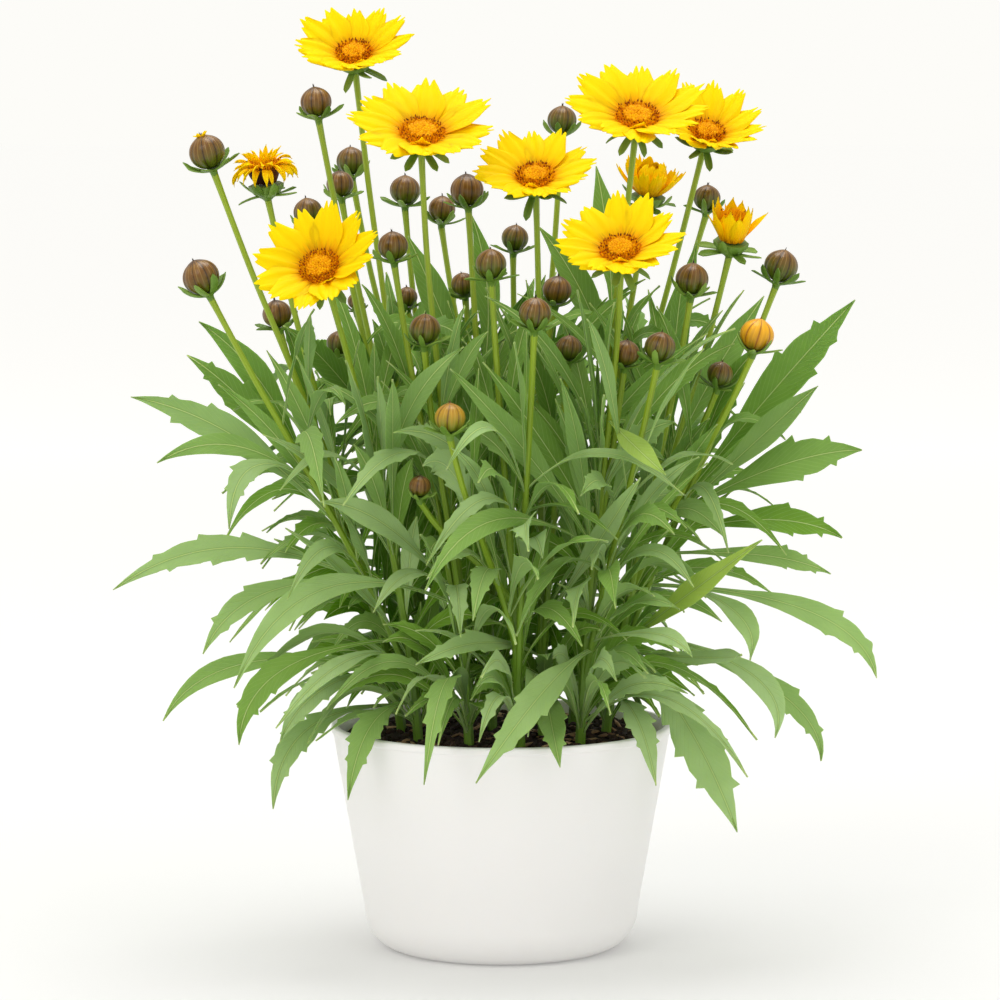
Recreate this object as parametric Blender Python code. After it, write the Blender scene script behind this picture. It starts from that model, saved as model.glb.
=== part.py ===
"""A tickseed (coreopsis) clump in a plain white pot: shoots with toothed leaves, buds and yellow blooms.

The row frame is in metres, +Z up, with the origin at the middle of the pot's foot. The clump is seen
from -Y in its reference view. Heads and large leaves are placed where that view shows them, and the
other leaves follow a seeded rule. Each shoot is one closed body that stands in its own hole in the soil.
"""

import math
import random

import bpy
import numpy as np
from mathutils import Vector
from mathutils.bvhtree import BVHTree

MM = 0.001
GAP = 0.3 * MM  # the play between two pieces that rest on each other

# The pot, a turned shell with a straight taper and a rounded foot corner.
POT_HEIGHT = 98 * MM
POT_RIM_RADIUS = 74.5 * MM
POT_SIDE_RADIUS = 60 * MM  # where the foot corner ends
POT_SIDE_HEIGHT = 17 * MM
POT_FOOT_RADIUS = 46 * MM
POT_WALL = 3 * MM
POT_LIP = 0.8 * MM
POT_SIDES = 30

# The soil fills the pot to just under the rim.
SOIL_TOP = 93 * MM
SOIL_CROWN = 2.0 * MM
HOLE_DEPTH = 14 * MM
HOLE_PLAY = 0.8 * MM

# The reference view: a long lens a little above the pot's rim.
VIEW_DISTANCE = 1.8
VIEW_HEIGHT = 0.370
VIEW_SIDE = -0.0006
VIEW_PITCH = math.radians(5.53)
VIEW_FOCAL = 4152.0  # in pixels of a 1000 pixel frame
VIEW_CENTRE = 500.0

STEM_SIDES = 5
STEM_POINTS = 6
BRANCH_POINTS = 5
STEM_FOOT_RADIUS = 2.5 * MM
STEM_TOP_RADIUS = 1.35 * MM
STEM_CLEAR = 1.6 * MM  # least air between two shoots' stems

BLADE = 0.7 * MM
PETALS = 12
PETAL_BLADE = 0.7 * MM
DISC_SHARE = 0.29  # of a bloom's radius
HUB_SHARE = 0.30
PETAL_RISE = {  # how steeply a bloom's petals rise towards their tips, in degrees
    "bloom_top": 23,
    "bloom_left": 20,
    "bloom_high_left": 14,
    "bloom_middle": 16,
    "bloom_high_right": 16,
    "bloom_far_right": 24,
    "bloom_right": 18,
}

FILL_LEAVES = 54
LEAF_TRIES = 14
SEED = 7

# Shoots: name, place of the foot on the soil (x, y in mm).
SHOOTS = {
    "left_front": (-36, -26),
    "left": (-44, 2),
    "left_back": (-32, 24),
    "back_left": (-14, 42),
    "front_left": (-14, -36),
    "back": (10, 44),
    "middle": (-4, 6),
    "front": (8, -46),
    "middle_right": (18, -14),
    "front_right": (34, -34),
    "right": (46, -4),
    "right_back": (32, 26),
}

# Heads: name: (shoot, kind, pixel x, pixel y, depth mm, size in pixels, lean to the right, lean to the viewer).
# The pixel is the middle of the disc or of the bud. Leans are in degrees from upright.
HEADS = {
    "bloom_top": ("left_back", "bloom", 354, 54, 40, 118, -2, 38),
    "bloom_left": ("left_front", "bloom", 320, 268, -62, 132, -14, 50),
    "bloom_high_left": ("front_left", "bloom", 422, 133, -28, 149, 3, 33),
    "bloom_middle": ("middle_right", "bloom", 535, 177, -22, 125, -3, 34),
    "bloom_high_right": ("right_back", "bloom", 637, 117, 2, 145, 3, 34),
    "bloom_far_right": ("right_back", "bloom", 707, 133, 60, 116, 8, 35),
    "bloom_right": ("front_right", "bloom", 620, 250, -66, 132, -4, 36),
    "faded": ("left", "faded", 264, 168, -2, 62, -6, 10),
    "opening_back": ("right_back", "opening", 650, 182, 44, 64, 6, 14),
    "opening_cup": ("right", "cup", 733, 228, -18, 46, 6, 18),
    "bud_yellow": ("right", "yellow_bud", 757, 335, -44, 34, 12, 6),
    "bud_lime": ("front", "lime_bud", 450, 418, -84, 31, 0, 4),
    "bud_01": ("left_back", "bud", 316, 102, 18, 31, -8, 4),
    "bud_02": ("left", "bud", 207, 152, -12, 36, -18, 6),
    "bud_03": ("back_left", "bud", 351, 161, 86, 29, -4, 2),
    "bud_04": ("left_back", "bud", 340, 184, 58, 27, -6, 0),
    "bud_05": ("back_left", "bud", 308, 212, 72, 29, -10, 4),
    "bud_06": ("left_front", "bud", 201, 277, -42, 37, -24, 4),
    "bud_07": ("left", "bud", 277, 314, 14, 29, -10, 2),
    "bud_08": ("front_left", "bud", 393, 246, -24, 30, -4, 6),
    "bud_09": ("back_left", "bud", 405, 190, 84, 30, 0, 2),
    "bud_10": ("back", "bud", 442, 209, 92, 27, 2, 2),
    "bud_11": ("middle", "bud", 467, 190, 24, 33, -4, 2),
    "bud_12": ("back_left", "green_bud", 356, 301, 60, 17, -4, 10),
    "bud_13": ("left_back", "green_bud", 339, 343, 12, 25, 0, 0),
    "bud_14": ("back", "green_bud", 407, 297, 66, 21, -2, 4),
    "bud_15": ("front_left", "bud", 425, 329, -54, 31, 2, 6),
    "bud_16": ("middle", "green_bud", 463, 284, 40, 24, -8, 20),
    "bud_17": ("front", "bud", 491, 264, -50, 31, -2, 6),
    "bud_18": ("back", "bud", 515, 238, 68, 27, 6, 4),
    "bud_19": ("front", "bud", 535, 313, -76, 32, 2, 10),
    "bud_20": ("middle", "bud", 557, 290, 30, 29, 6, 6),
    "bud_21": ("back", "bud", 562, 120, 84, 29, 2, 2),
    "bud_22": ("middle_right", "bud", 569, 348, -30, 26, 4, 4),
    "bud_23": ("front_right", "bud", 626, 353, -42, 27, 6, 10),
    "bud_24": ("front_right", "bud", 660, 347, -66, 31, 8, 4),
    "bud_25": ("right", "bud", 692, 279, -30, 33, 4, 4),
    "bud_26": ("right_back", "bud", 707, 198, 78, 27, 4, 2),
    "bud_27": ("right", "bud", 720, 374, -14, 26, 10, 8),
    "bud_28": ("right", "bud", 781, 266, 6, 34, 14, 4),
    "bud_29": ("left", "green_bud", 258, 384, 30, 16, -8, 8),
    "bud_30": ("front", "green_bud", 420, 486, -64, 22, 0, 10),
}

# Large leaves: (base, middle, tip) in pixels of the reference view, depth of the tip in mm, width in
# pixels, and the count of tooth pairs.
LEAVES = [
    ((325, 530), (235, 437), (131, 397), -20, 36, 1),
    ((310, 500), (252, 410), (187, 355), 14, 30, 1),
    ((318, 470), (262, 384), (199, 322), 44, 30, 0),
    ((300, 500), (235, 446), (157, 463), -40, 24, 0),
    ((300, 492), (252, 468), (229, 529), -66, 26, 1),
    ((335, 592), (232, 548), (113, 590), -34, 30, 2),
    ((345, 600), (262, 595), (203, 654), -70, 28, 1),
    ((345, 672), (243, 664), (163, 721), -10, 24, 0),
    ((345, 655), (280, 672), (239, 745), -62, 32, 1),
    ((385, 705), (307, 730), (273, 809), -50, 30, 2),
    ((440, 608), (322, 590), (234, 688), -94, 32, 0),
    ((405, 705), (372, 725), (348, 800), -62, 30, 2),
    ((362, 712), (336, 738), (313, 782), -24, 24, 1),
    ((390, 672), (322, 690), (280, 742), -84, 30, 1),
    ((405, 665), (345, 662), (276, 728), -104, 20, 0),
    ((575, 548), (497, 520), (425, 590), -112, 28, 0),
    ((550, 662), (484, 643), (416, 665), -110, 28, 1),
    ((600, 648), (545, 690), (476, 783), -112, 36, 1),
    ((548, 672), (549, 712), (560, 767), -96, 32, 1),
    ((612, 690), (636, 718), (656, 785), -92, 30, 2),
    ((650, 655), (690, 730), (737, 832), -78, 50, 2),
    ((612, 650), (684, 598), (762, 540), -96, 32, 0),
    ((612, 642), (655, 634), (692, 657), -122, 24, 0),
    ((690, 590), (735, 612), (750, 660), -86, 26, 0),
    ((720, 612), (810, 612), (877, 678), -36, 30, 1),
    ((720, 660), (775, 690), (821, 761), -20, 26, 1),
    ((715, 655), (752, 675), (775, 738), -58, 28, 0),
    ((700, 522), (780, 466), (862, 450), -24, 44, 1),
    ((705, 548), (772, 520), (842, 538), 6, 32, 1),
    ((700, 575), (765, 556), (830, 574), 34, 24, 1),
    ((700, 500), (776, 388), (855, 300), 10, 42, 1),
    ((690, 520), (760, 438), (818, 386), -34, 30, 0),
    ((690, 500), (748, 440), (801, 412), 44, 26, 0),
    ((672, 470), (712, 378), (764, 296), 36, 32, 0),
    ((602, 426), (632, 444), (666, 475), -108, 26, 0),
    ((590, 540), (548, 450), (483, 362), -56, 28, 0),
    ((585, 545), (528, 455), (450, 369), -84, 28, 0),
    ((385, 500), (410, 410), (464, 347), -74, 26, 0),
    ((612, 390), (585, 300), (538, 226), 38, 32, 0),
    ((620, 330), (608, 245), (596, 166), 62, 30, 0),
    ((450, 590), (385, 525), (321, 502), -92, 30, 0),
    ((405, 480), (345, 385), (284, 326), -30, 32, 1),
    ((470, 400), (440, 310), (408, 236), 50, 30, 0),
    ((500, 390), (488, 300), (471, 214), 50, 26, 0),
    ((655, 660), (705, 658), (742, 655), -70, 26, 0),
    ((640, 420), (672, 330), (697, 240), 44, 26, 0),
    ((560, 620), (600, 540), (640, 478), -92, 26, 0),
]


def spot(px, py, depth_mm):
    """The point seen at a pixel of the reference view, at that depth behind the pot's middle."""
    right = (px - VIEW_CENTRE) / VIEW_FOCAL
    up = (VIEW_CENTRE - py) / VIEW_FOCAL
    sine, cosine = math.sin(VIEW_PITCH), math.cos(VIEW_PITCH)
    way = Vector((right, cosine + up * sine, up * cosine - sine))
    reach = (depth_mm * MM + VIEW_DISTANCE) / way.y
    return Vector((VIEW_SIDE, -VIEW_DISTANCE, VIEW_HEIGHT)) + way * reach


def seen(point):
    """The pixel of the reference view where a point is seen."""
    away = point - Vector((VIEW_SIDE, -VIEW_DISTANCE, VIEW_HEIGHT))
    sine, cosine = math.sin(VIEW_PITCH), math.cos(VIEW_PITCH)
    depth = away.y * cosine - away.z * sine
    up = away.y * sine + away.z * cosine
    return VIEW_CENTRE + VIEW_FOCAL * away.x / depth, VIEW_CENTRE - VIEW_FOCAL * up / depth


def pixels(count, depth_mm=0):
    """The real length of so many pixels at a depth."""
    return count * (VIEW_DISTANCE + depth_mm * MM) / VIEW_FOCAL


def bezier(points, share):
    """A point on a quadratic or cubic Bezier curve."""
    points = [Vector(p) for p in points]
    while len(points) > 1:
        points = [a.lerp(b, share) for a, b in zip(points, points[1:])]
    return points[0]


def side_of(along, facing):
    """A unit vector across a blade that runs along one way and faces another."""
    side = along.cross(facing)
    if side.length < 1e-6:
        side = along.cross(Vector((1, 0, 0)))
    return side.normalized()


class Head:
    """A bloom or bud: where it is, which way it faces and how large it is."""

    def __init__(self, name, row):
        self.name = name
        self.shoot, self.kind, px, py, depth, size, lean_right, lean_near = row
        self.place = spot(px, py, depth)
        self.radius = pixels(size / 2, depth)
        right, near = math.radians(lean_right), math.radians(lean_near)
        axis = Vector((math.sin(right), -math.sin(near), math.cos(right) * math.cos(near)))
        self.axis = axis.normalized()
        self.flower = self.kind in ("bloom", "faded", "opening", "cup")

    def neck(self):
        """How far under the head's middle its green cup meets it."""
        if self.kind == "bloom":
            return 2.2 * MM
        if self.kind == "faded":
            return 7.0 * MM
        if self.flower:
            return 6.0 * MM
        return self.radius * 0.94

    def seat(self):
        return self.place - self.axis * self.neck()

    def cup_depth(self):
        return 6.5 * MM if self.flower else 2.6 * MM

    def stalk_end(self):
        return self.seat() - self.axis * self.cup_depth()


def stem_curve(foot, rise, end, end_way, reach, count):
    """A smooth run from a foot, leaving along rise, to an end that it meets along end_way."""
    knots = [foot, foot + rise * reach, end - end_way * reach * 0.8, end]
    return [bezier(knots, k / (count - 1)) for k in range(count)]


def grow_shoot(foot_xy, heads):
    """The stems of a shoot: the first runs from the soil to its highest head, the rest branch off it."""
    x, y = (v * MM for v in foot_xy)
    ordered = sorted(heads, key=lambda h: -h.place.z)
    top = ordered[0]
    foot = Vector((x, y, SOIL_TOP - HOLE_DEPTH + GAP))
    collar = Vector((x, y, SOIL_TOP + 4 * MM))
    end = top.stalk_end()
    lean = (end - collar).normalized()
    rise = (lean + Vector((0, 0, 1.4))).normalized()
    end_way = (top.axis + lean).normalized()
    main = [foot] + stem_curve(collar, rise, end, end_way, (end - collar).length * 0.36, STEM_POINTS)
    stems = [(top, main)]
    for rank, head in enumerate(ordered[1:]):
        end = head.stalk_end()
        share = 0.10 + 0.09 * rank
        fork = 1 + share * (STEM_POINTS - 1)
        first = int(fork)
        start = main[first].lerp(main[first + 1], fork - first)
        way = (main[first + 1] - main[first]).normalized()
        lean = (end - start).normalized()
        rise = (way * 0.5 + lean).normalized()
        run = (end - start).length
        end_way = (head.axis * 0.8 + lean).normalized()
        stems.append((head, stem_curve(start, rise, end, end_way, run * 0.33, BRANCH_POINTS)))
    return stems


def segment_gap(p, q, r, s):
    """The two nearest points of segments pq and rs."""
    d1, d2, w = q - p, s - r, p - r
    a, b, c = d1.dot(d1), d1.dot(d2), d2.dot(d2)
    d, e = d1.dot(w), d2.dot(w)
    under = a * c - b * b
    t = min(1, max(0, (b * e - c * d) / under)) if under > 1e-12 else 0.0
    u = min(1, max(0, (b * t + e) / c)) if c > 1e-12 else 0.0
    t = min(1, max(0, (b * u - d) / a)) if a > 1e-12 else 0.0
    return p + d1 * t, r + d2 * u, t, u


def spread_stems(shoots):
    """Stems of different shoots push each other apart where they come too near."""
    need = 2 * STEM_TOP_RADIUS + STEM_CLEAR + 0.8 * MM
    runs = [(name, run) for name, stems in shoots.items() for _, run in stems]
    for _ in range(60):
        worst = need
        for i, (name, run) in enumerate(runs):
            for other_name, other in runs[i + 1:]:
                if name == other_name:
                    continue
                for a in range(len(run) - 1):
                    for b in range(len(other) - 1):
                        if (run[a] - other[b]).length > 0.11:
                            continue
                        one, two, t, u = segment_gap(run[a], run[a + 1], other[b], other[b + 1])
                        apart = (one - two).length
                        if apart >= need:
                            continue
                        worst = min(worst, apart)
                        away = (one - two) / apart if apart > 1e-6 else Vector((0, 1, 0))
                        push = away * (need - apart) * 0.35
                        shift(run, a, t, push)
                        shift(other, b, u, -push)
        if worst > need - 0.2 * MM:
            return worst
    return worst


def shift(run, index, share, push):
    """Moves the inner points about a place on a run, and leaves its two ends and its straight foot."""
    low = 2 if len(run) > STEM_POINTS else 1
    for point, weight in ((index, 1 - share), (index + 1, share)):
        if low <= point < len(run) - 1:
            run[point] += push * (0.3 + weight)


def smooth_run(run, share):
    """A point and a direction on a run of points, read as a Catmull-Rom curve."""
    place = share * (len(run) - 1)
    i = min(int(place), len(run) - 2)
    t = place - i
    p0, p1, p2, p3 = (run[max(0, min(len(run) - 1, i + k))] for k in (-1, 0, 1, 2))
    point = (p1 * 2 + (p2 - p0) * t + (p0 * 2 - p1 * 5 + p2 * 4 - p3) * t**2 + (p1 * 3 - p0 - p2 * 3 + p3) * t**3) / 2
    way = (p2 - p0) + (p0 * 2 - p1 * 5 + p2 * 4 - p3) * 2 * t + (p1 * 3 - p0 - p2 * 3 + p3) * 3 * t**2
    return point, way.normalized()


class Leaf:
    """A leaf's line, its face, its width and its teeth."""

    def __init__(self, base, middle, tip, facing, width, teeth):
        bend = middle * 2 - (base + tip) / 2
        self.knots = [base, bend, tip]
        self.facing = facing.normalized()
        self.width = width
        self.teeth = teeth

    def at(self, share):
        return bezier(self.knots, share)

    def rows(self):
        """(share of the length, half width as a share of the full half width) down to the tip."""
        if self.teeth == 0:
            return [(0, 0.15), (0.24, 0.24), (0.50, 1.0), (0.76, 0.66), (1, 0)]
        if self.teeth == 1:
            return [(0, 0.15), (0.24, 0.26), (0.44, 0.86), (0.56, 1.14), (0.585, 0.80), (0.80, 0.48), (1, 0)]
        return [(0, 0.15), (0.22, 0.24), (0.38, 0.98), (0.41, 0.70), (0.57, 1.12), (0.60, 0.78), (0.80, 0.46), (1, 0)]


def blade_mesh(leaf, thickness):
    """A closed strip of even thickness with the leaf's outline; both faces are split alike."""
    points, faces = [], []
    rows = leaf.rows()
    for share, wide in rows:
        here = leaf.at(share)
        along = (leaf.at(min(1, share + 0.02)) - leaf.at(max(0, share - 0.02))).normalized()
        side = side_of(along, leaf.facing)
        up = side.cross(along).normalized() * thickness / 2
        reach = side * wide * leaf.width / 2
        if wide == 0:
            points += [here + up, here - up]
        else:
            points += [here - reach + up, here + reach + up, here + reach - up, here - reach - up]
    faces += [(0, 1, 2), (0, 2, 3)]
    for row in range(len(rows) - 2):
        a, b = row * 4, row * 4 + 4
        faces += [(a, b, a + 1), (a + 1, b, b + 1), (a + 3, a + 2, b + 3), (a + 2, b + 2, b + 3)]
        faces += [(a + 1, b + 1, b + 2), (a + 1, b + 2, a + 2), (a, a + 3, b + 3), (a, b + 3, b)]
    a = (len(rows) - 2) * 4
    t = a + 4
    faces += [(a, t, a + 1), (a + 3, a + 2, t + 1), (a + 1, t, t + 1), (a + 1, t + 1, a + 2)]
    faces += [(a, a + 3, t + 1), (a, t + 1, t)]
    return points, faces


def ring_frame(axis):
    """Two unit vectors square to an axis."""
    one = axis.cross(Vector((0, 1, 0)))
    if one.length < 0.1:
        one = axis.cross(Vector((1, 0, 0)))
    one.normalize()
    return one, axis.cross(one).normalized()


def tube_mesh(centres, radii, sides):
    """A closed tube through rings of the given radii, with flat ends."""
    points, faces = [], []
    one = None
    for i, centre in enumerate(centres):
        ahead = centres[min(i + 1, len(centres) - 1)] - centres[max(i - 1, 0)]
        way = ahead.normalized()
        if one is None:
            one, _ = ring_frame(way)
        one = (one - way * one.dot(way)).normalized()
        two = way.cross(one)
        for k in range(sides):
            turn = math.tau * k / sides
            points.append(centre + (one * math.cos(turn) + two * math.sin(turn)) * radii[i])
    for ring in range(len(centres) - 1):
        for k in range(sides):
            a, b = ring * sides + k, ring * sides + (k + 1) % sides
            faces += [(a, b, b + sides), (a, b + sides, a + sides)]
    last = (len(centres) - 1) * sides
    for k in range(1, sides - 1):
        faces += [(0, k + 1, k), (last, last + k, last + k + 1)]
    return points, faces


def stem_mesh(run, main):
    """A stem that tapers from its foot or fork to its head."""
    start = STEM_FOOT_RADIUS if main else STEM_TOP_RADIUS * 1.12
    count = len(run)
    radii = [start + (STEM_TOP_RADIUS - start) * min(1, 1.6 * k / (count - 1)) for k in range(count)]
    way = (run[-1] - run[-2]).normalized()
    return tube_mesh(run[:-1] + [run[-1] + way * 0.9 * MM], radii, STEM_SIDES)


def calyx_mesh(head):
    """The green cup at the end of a stem with its outer bracts, which are narrow spikes on its sides."""
    one, two = ring_frame(head.axis)
    seat, axis, depth = head.seat(), head.axis, head.cup_depth()
    if head.flower:
        sides, length, rise = 8, 9.0 * MM, math.radians(4)
        broad = 7.0 * MM if head.kind == "bloom" else 5.6 * MM
        levels = [(-depth, 1.5 * MM), (-depth * 0.45, broad * 0.66), (-GAP, broad)]
    else:
        sides, length, rise = 7, max(5.5 * MM, head.radius * 1.35), math.radians(24)
        levels = [(-depth, 1.5 * MM), (-GAP, max(2.5 * MM, head.radius * 0.46))]
    if head.kind == "green_bud":
        length *= 0.8
        levels += [(head.radius * 0.9, head.radius), (head.radius * 1.6, head.radius * 0.7)]
    points, faces = [], []
    for high, wide in levels:
        for k in range(sides):
            turn = math.tau * k / sides
            points.append(seat + axis * high + (one * math.cos(turn) + two * math.sin(turn)) * wide)
    for ring in range(len(levels) - 1):
        for k in range(sides):
            after = (k + 1) % sides
            a, b = ring * sides + k, ring * sides + after
            c, d = b + sides, a + sides
            if ring > 0:
                faces += [(a, b, c), (a, c, d)]
                continue
            turn = math.tau * (k + 0.5) / sides
            out = one * math.cos(turn) + two * math.sin(turn)
            middle = (points[a] + points[b] + points[c] + points[d]) / 4
            peak = len(levels) * sides + k
            faces += [(a, b, peak), (b, c, peak), (c, d, peak), (d, a, peak)]
            points.append(middle + (out * math.cos(rise) + axis * math.sin(rise)) * length)
    if head.kind == "green_bud":
        last = (len(levels) - 1) * sides
        points.append(seat + axis * head.radius * 1.95)
        faces += [(last + k, last + (k + 1) % sides, len(points) - 1) for k in range(sides)]
    else:
        last = (len(levels) - 1) * sides
        faces += [(last, last + k, last + k + 1) for k in range(1, sides - 1)]
    faces += [(0, k + 1, k) for k in range(1, sides - 1)]
    return points, facing_out(points, faces)


def facing_out(points, faces):
    """The faces, turned round if the closed mesh that they make is inside out."""
    volume = sum(points[a].dot(points[b].cross(points[c])) for a, b, c in faces)
    return faces if volume > 0 else [(a, c, b) for a, b, c in faces]


def petal_ring(head):
    """The ray petals of a bloom as one thin star-shaped blade, cut between petals and toothed at the tips."""
    one, two = ring_frame(head.axis)
    count = PETALS
    reach = head.radius
    hub = HUB_SHARE * reach
    rise = math.tan(math.radians(PETAL_RISE[head.name]))
    step = math.tau / count
    base = head.seat() + head.axis * (PETAL_BLADE / 2 + GAP)
    flat, height = [(0.0, 0.0)], [0.0]
    for k in range(count):
        turn = step * k
        flat.append((hub * math.cos(turn - step / 2), hub * math.sin(turn - step / 2)))
        height.append(0.5 * MM)
    tips = ((0.93, -0.86), (0.86, -0.36), (1.0, 0.0), (0.87, 0.38), (0.94, 0.86))
    half = math.tan(step / 2) * 1.02
    rng = random.Random(len(head.name) + int(head.radius * 1e6))
    for k in range(count):
        turn = step * k
        stretch = reach * (1 + rng.uniform(-0.05, 0.03))
        droop = rng.uniform(-1.2, 1.0) * MM
        for far, wide in tips:
            along = stretch * far
            across = wide * half * stretch
            x = along * math.cos(turn) - across * math.sin(turn)
            y = along * math.sin(turn) + across * math.cos(turn)
            flat.append((x, y))
            height.append(0.5 * MM + (far * reach - hub) * rise + droop)
    faces = []
    for k in range(count):
        left, right = 1 + k, 1 + (k + 1) % count
        a, b, c, d, e = range(1 + count + 5 * k, 6 + count + 5 * k)
        faces += [(0, left, right), (left, a, b), (left, b, c), (left, c, right), (c, d, right), (d, e, right)]
    points = [base + one * x + two * y + head.axis * z for (x, y), z in zip(flat, height)]
    return thicken(points, faces, head.axis * PETAL_BLADE / 2)


def thicken(points, faces, half):
    """A closed slab from an open sheet, moved both ways along one vector, with both faces split alike."""
    count = len(points)
    solid = [p + half for p in points] + [p - half for p in points]
    made = list(faces) + [(c + count, b + count, a + count) for a, b, c in faces]
    edges = {}
    for a, b, c in faces:
        for edge in ((a, b), (b, c), (c, a)):
            edges[edge] = True
    for a, b in edges:
        if (b, a) not in edges:
            made += [(b, a, a + count), (b, a + count, b + count)]
    return solid, facing_out(solid, made)


def dome_mesh(centre, axis, radius, height, florets, low=0.35):
    """A low dome with rings of small raised florets."""
    one, two = ring_frame(axis)
    rings = [(1.0, 0.0), (0.94, low), (0.52, 0.86)]
    points, faces = [], []
    for wide, up in rings:
        for k in range(florets):
            turn = math.tau * k / florets
            points.append(centre + (one * math.cos(turn) + two * math.sin(turn)) * radius * wide + axis * height * up)
    top = len(points)
    points.append(centre + axis * height)
    for k in range(florets):
        after = (k + 1) % florets
        for ring in range(2):
            a, b = ring * florets + k, ring * florets + after
            c, d = b + florets, a + florets
            middle = (points[a] + points[b] + points[c] + points[d]) / 4
            out = (points[b] - points[a]).cross(points[d] - points[a]).normalized()
            peak = len(points)
            points.append(middle + out * 0.13 * radius)
            faces += [(a, b, peak), (b, c, peak), (c, d, peak), (d, a, peak)]
        faces.append((2 * florets + k, 2 * florets + after, top))
    for k in range(1, florets - 1):
        faces.append((0, k + 1, k))
    return points, facing_out(points, faces)


def disc_mesh(head):
    """The orange disc in the middle of a bloom."""
    seat = head.seat() + head.axis * (PETAL_BLADE + 2 * GAP + 0.5 * MM)
    return dome_mesh(seat, head.axis, DISC_SHARE * head.radius, 4.6 * MM, 11)


def crown_mesh(head, count, radius_low, radius_high, height, spread):
    """Upright petals of a head that is opening or fading, as one star-shaped cup, closed below."""
    one, two = ring_frame(head.axis)
    base = head.seat() + head.axis * (PETAL_BLADE / 2 + GAP)
    step = math.tau / count
    points = [base]
    rng = random.Random(count + int(height * 1e6))
    for k in range(count):
        turn = step * (k - 0.5)
        points.append(base + (one * math.cos(turn) + two * math.sin(turn)) * radius_low + head.axis * 0.6 * MM)
    for k in range(count):
        turn = step * k
        for wide, up, out in ((-0.40, 0.55, 0.92), (-0.28, 0.93, spread), (0.24, 1.0, spread), (0.40, 0.55, 0.92)):
            angle = turn + wide * step
            rise = height * up * (1 + rng.uniform(-0.08, 0.08))
            far = radius_high * out
            points.append(base + (one * math.cos(angle) + two * math.sin(angle)) * far + head.axis * rise)
    faces = []
    for k in range(count):
        left, right = 1 + k, 1 + (k + 1) % count
        first = 1 + count + 4 * k
        faces += [(0, left, right), (left, first, right), (right, first, first + 3)]
        faces += [(first, first + 1, first + 3), (first + 1, first + 2, first + 3)]
    solid, made = list(points), list(faces)
    total = len(points)
    for p in points:
        out = p - base
        out -= head.axis * out.dot(head.axis)
        inward = out.normalized() * 0.8 * MM if out.length > radius_low * 1.01 else Vector()
        solid.append(p + head.axis * (PETAL_BLADE if inward.length == 0 else 0.3 * MM) - inward)
    made += [(c + total, b + total, a + total) for a, b, c in faces]
    edges = {edge for a, b, c in faces for edge in ((a, b), (b, c), (c, a))}
    for a, b in sorted(edges):
        if (b, a) not in edges:
            made += [(b, a, a + total), (b, a + total, b + total)]
    return solid, facing_out(solid, made)


def bud_mesh(head):
    """A bud's ball, with a ridge at every other meridian where its inner bracts close over it."""
    one, two = ring_frame(head.axis)
    sides = 10
    radius = head.radius
    points, faces = [head.place - head.axis * (head.radius * 0.94 - GAP)], []
    for level in (-0.62, 0.0, 0.60):
        for k in range(sides):
            turn = math.tau * k / sides
            bulge = radius * (1.0 if k % 2 else 0.93)
            wide = bulge * math.sqrt(1 - level * level)
            out = one * math.cos(turn) + two * math.sin(turn)
            points.append(head.place + out * wide + head.axis * bulge * level * 0.95)
    points.append(head.place + head.axis * radius * 1.02)
    for k in range(sides):
        after = (k + 1) % sides
        faces.append((0, 1 + after, 1 + k))
        for ring in range(2):
            a, b = 1 + ring * sides + k, 1 + ring * sides + after
            faces += [(a, b, b + sides), (a, b + sides, a + sides)]
        faces.append((1 + 2 * sides + k, 1 + 2 * sides + after, len(points) - 1))
    return points, facing_out(points, faces)


def head_pieces(head):
    """The pieces of a head that aren't green: (name, colour, mesh)."""
    if head.kind == "bloom":
        return [
            (head.name + "_petals", "petal", petal_ring(head)),
            (head.name + "_disc", "disc", disc_mesh(head)),
        ]
    if head.flower:
        if head.kind == "faded":
            crown, core_height = crown_mesh(head, 11, 5.4 * MM, 11.5 * MM, 16.5 * MM, 1.12), 14.5 * MM
        elif head.kind == "opening":
            crown, core_height = crown_mesh(head, 10, 5.4 * MM, 10.5 * MM, 14.0 * MM, 1.20), 11.0 * MM
        else:
            crown, core_height = crown_mesh(head, 10, 5.4 * MM, 9.4 * MM, 16.0 * MM, 1.02), 12.0 * MM
        start = head.seat() + head.axis * (PETAL_BLADE + 2 * GAP + 0.9 * MM)
        return [
            (head.name + "_petals", "orange_petal", crown),
            (head.name + "_core", "disc", dome_mesh(start, head.axis, 4.8 * MM, core_height, 8, 0.6)),
        ]
    if head.kind == "green_bud":
        return []
    colour = {"bud": "bud", "yellow_bud": "petal", "lime_bud": "lime_bud"}[head.kind]
    return [(head.name, colour, bud_mesh(head))]


def boxes_meet(one, two, margin):
    return all(one[0][i] - margin <= two[1][i] and two[0][i] - margin <= one[1][i] for i in range(3))


class Placed:
    """What already stands in the clump, for the test that a new leaf is clear of it."""

    def __init__(self):
        self.items = []

    def add(self, shoot, points, faces):
        low = [min(p[i] for p in points) for i in range(3)]
        high = [max(p[i] for p in points) for i in range(3)]
        self.items.append((shoot, (low, high), BVHTree.FromPolygons(points, faces)))

    def meets(self, shoot, points, faces, own):
        """Whether a mesh crosses anything of other shoots or, where own is set, of its own shoot too."""
        low = [min(p[i] for p in points) for i in range(3)]
        high = [max(p[i] for p in points) for i in range(3)]
        tree = BVHTree.FromPolygons(points, faces)
        for owner, box, other in self.items:
            if owner == shoot and not own:
                continue
            if boxes_meet((low, high), box, 0) and tree.overlap(other):
                return True
        return False


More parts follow.
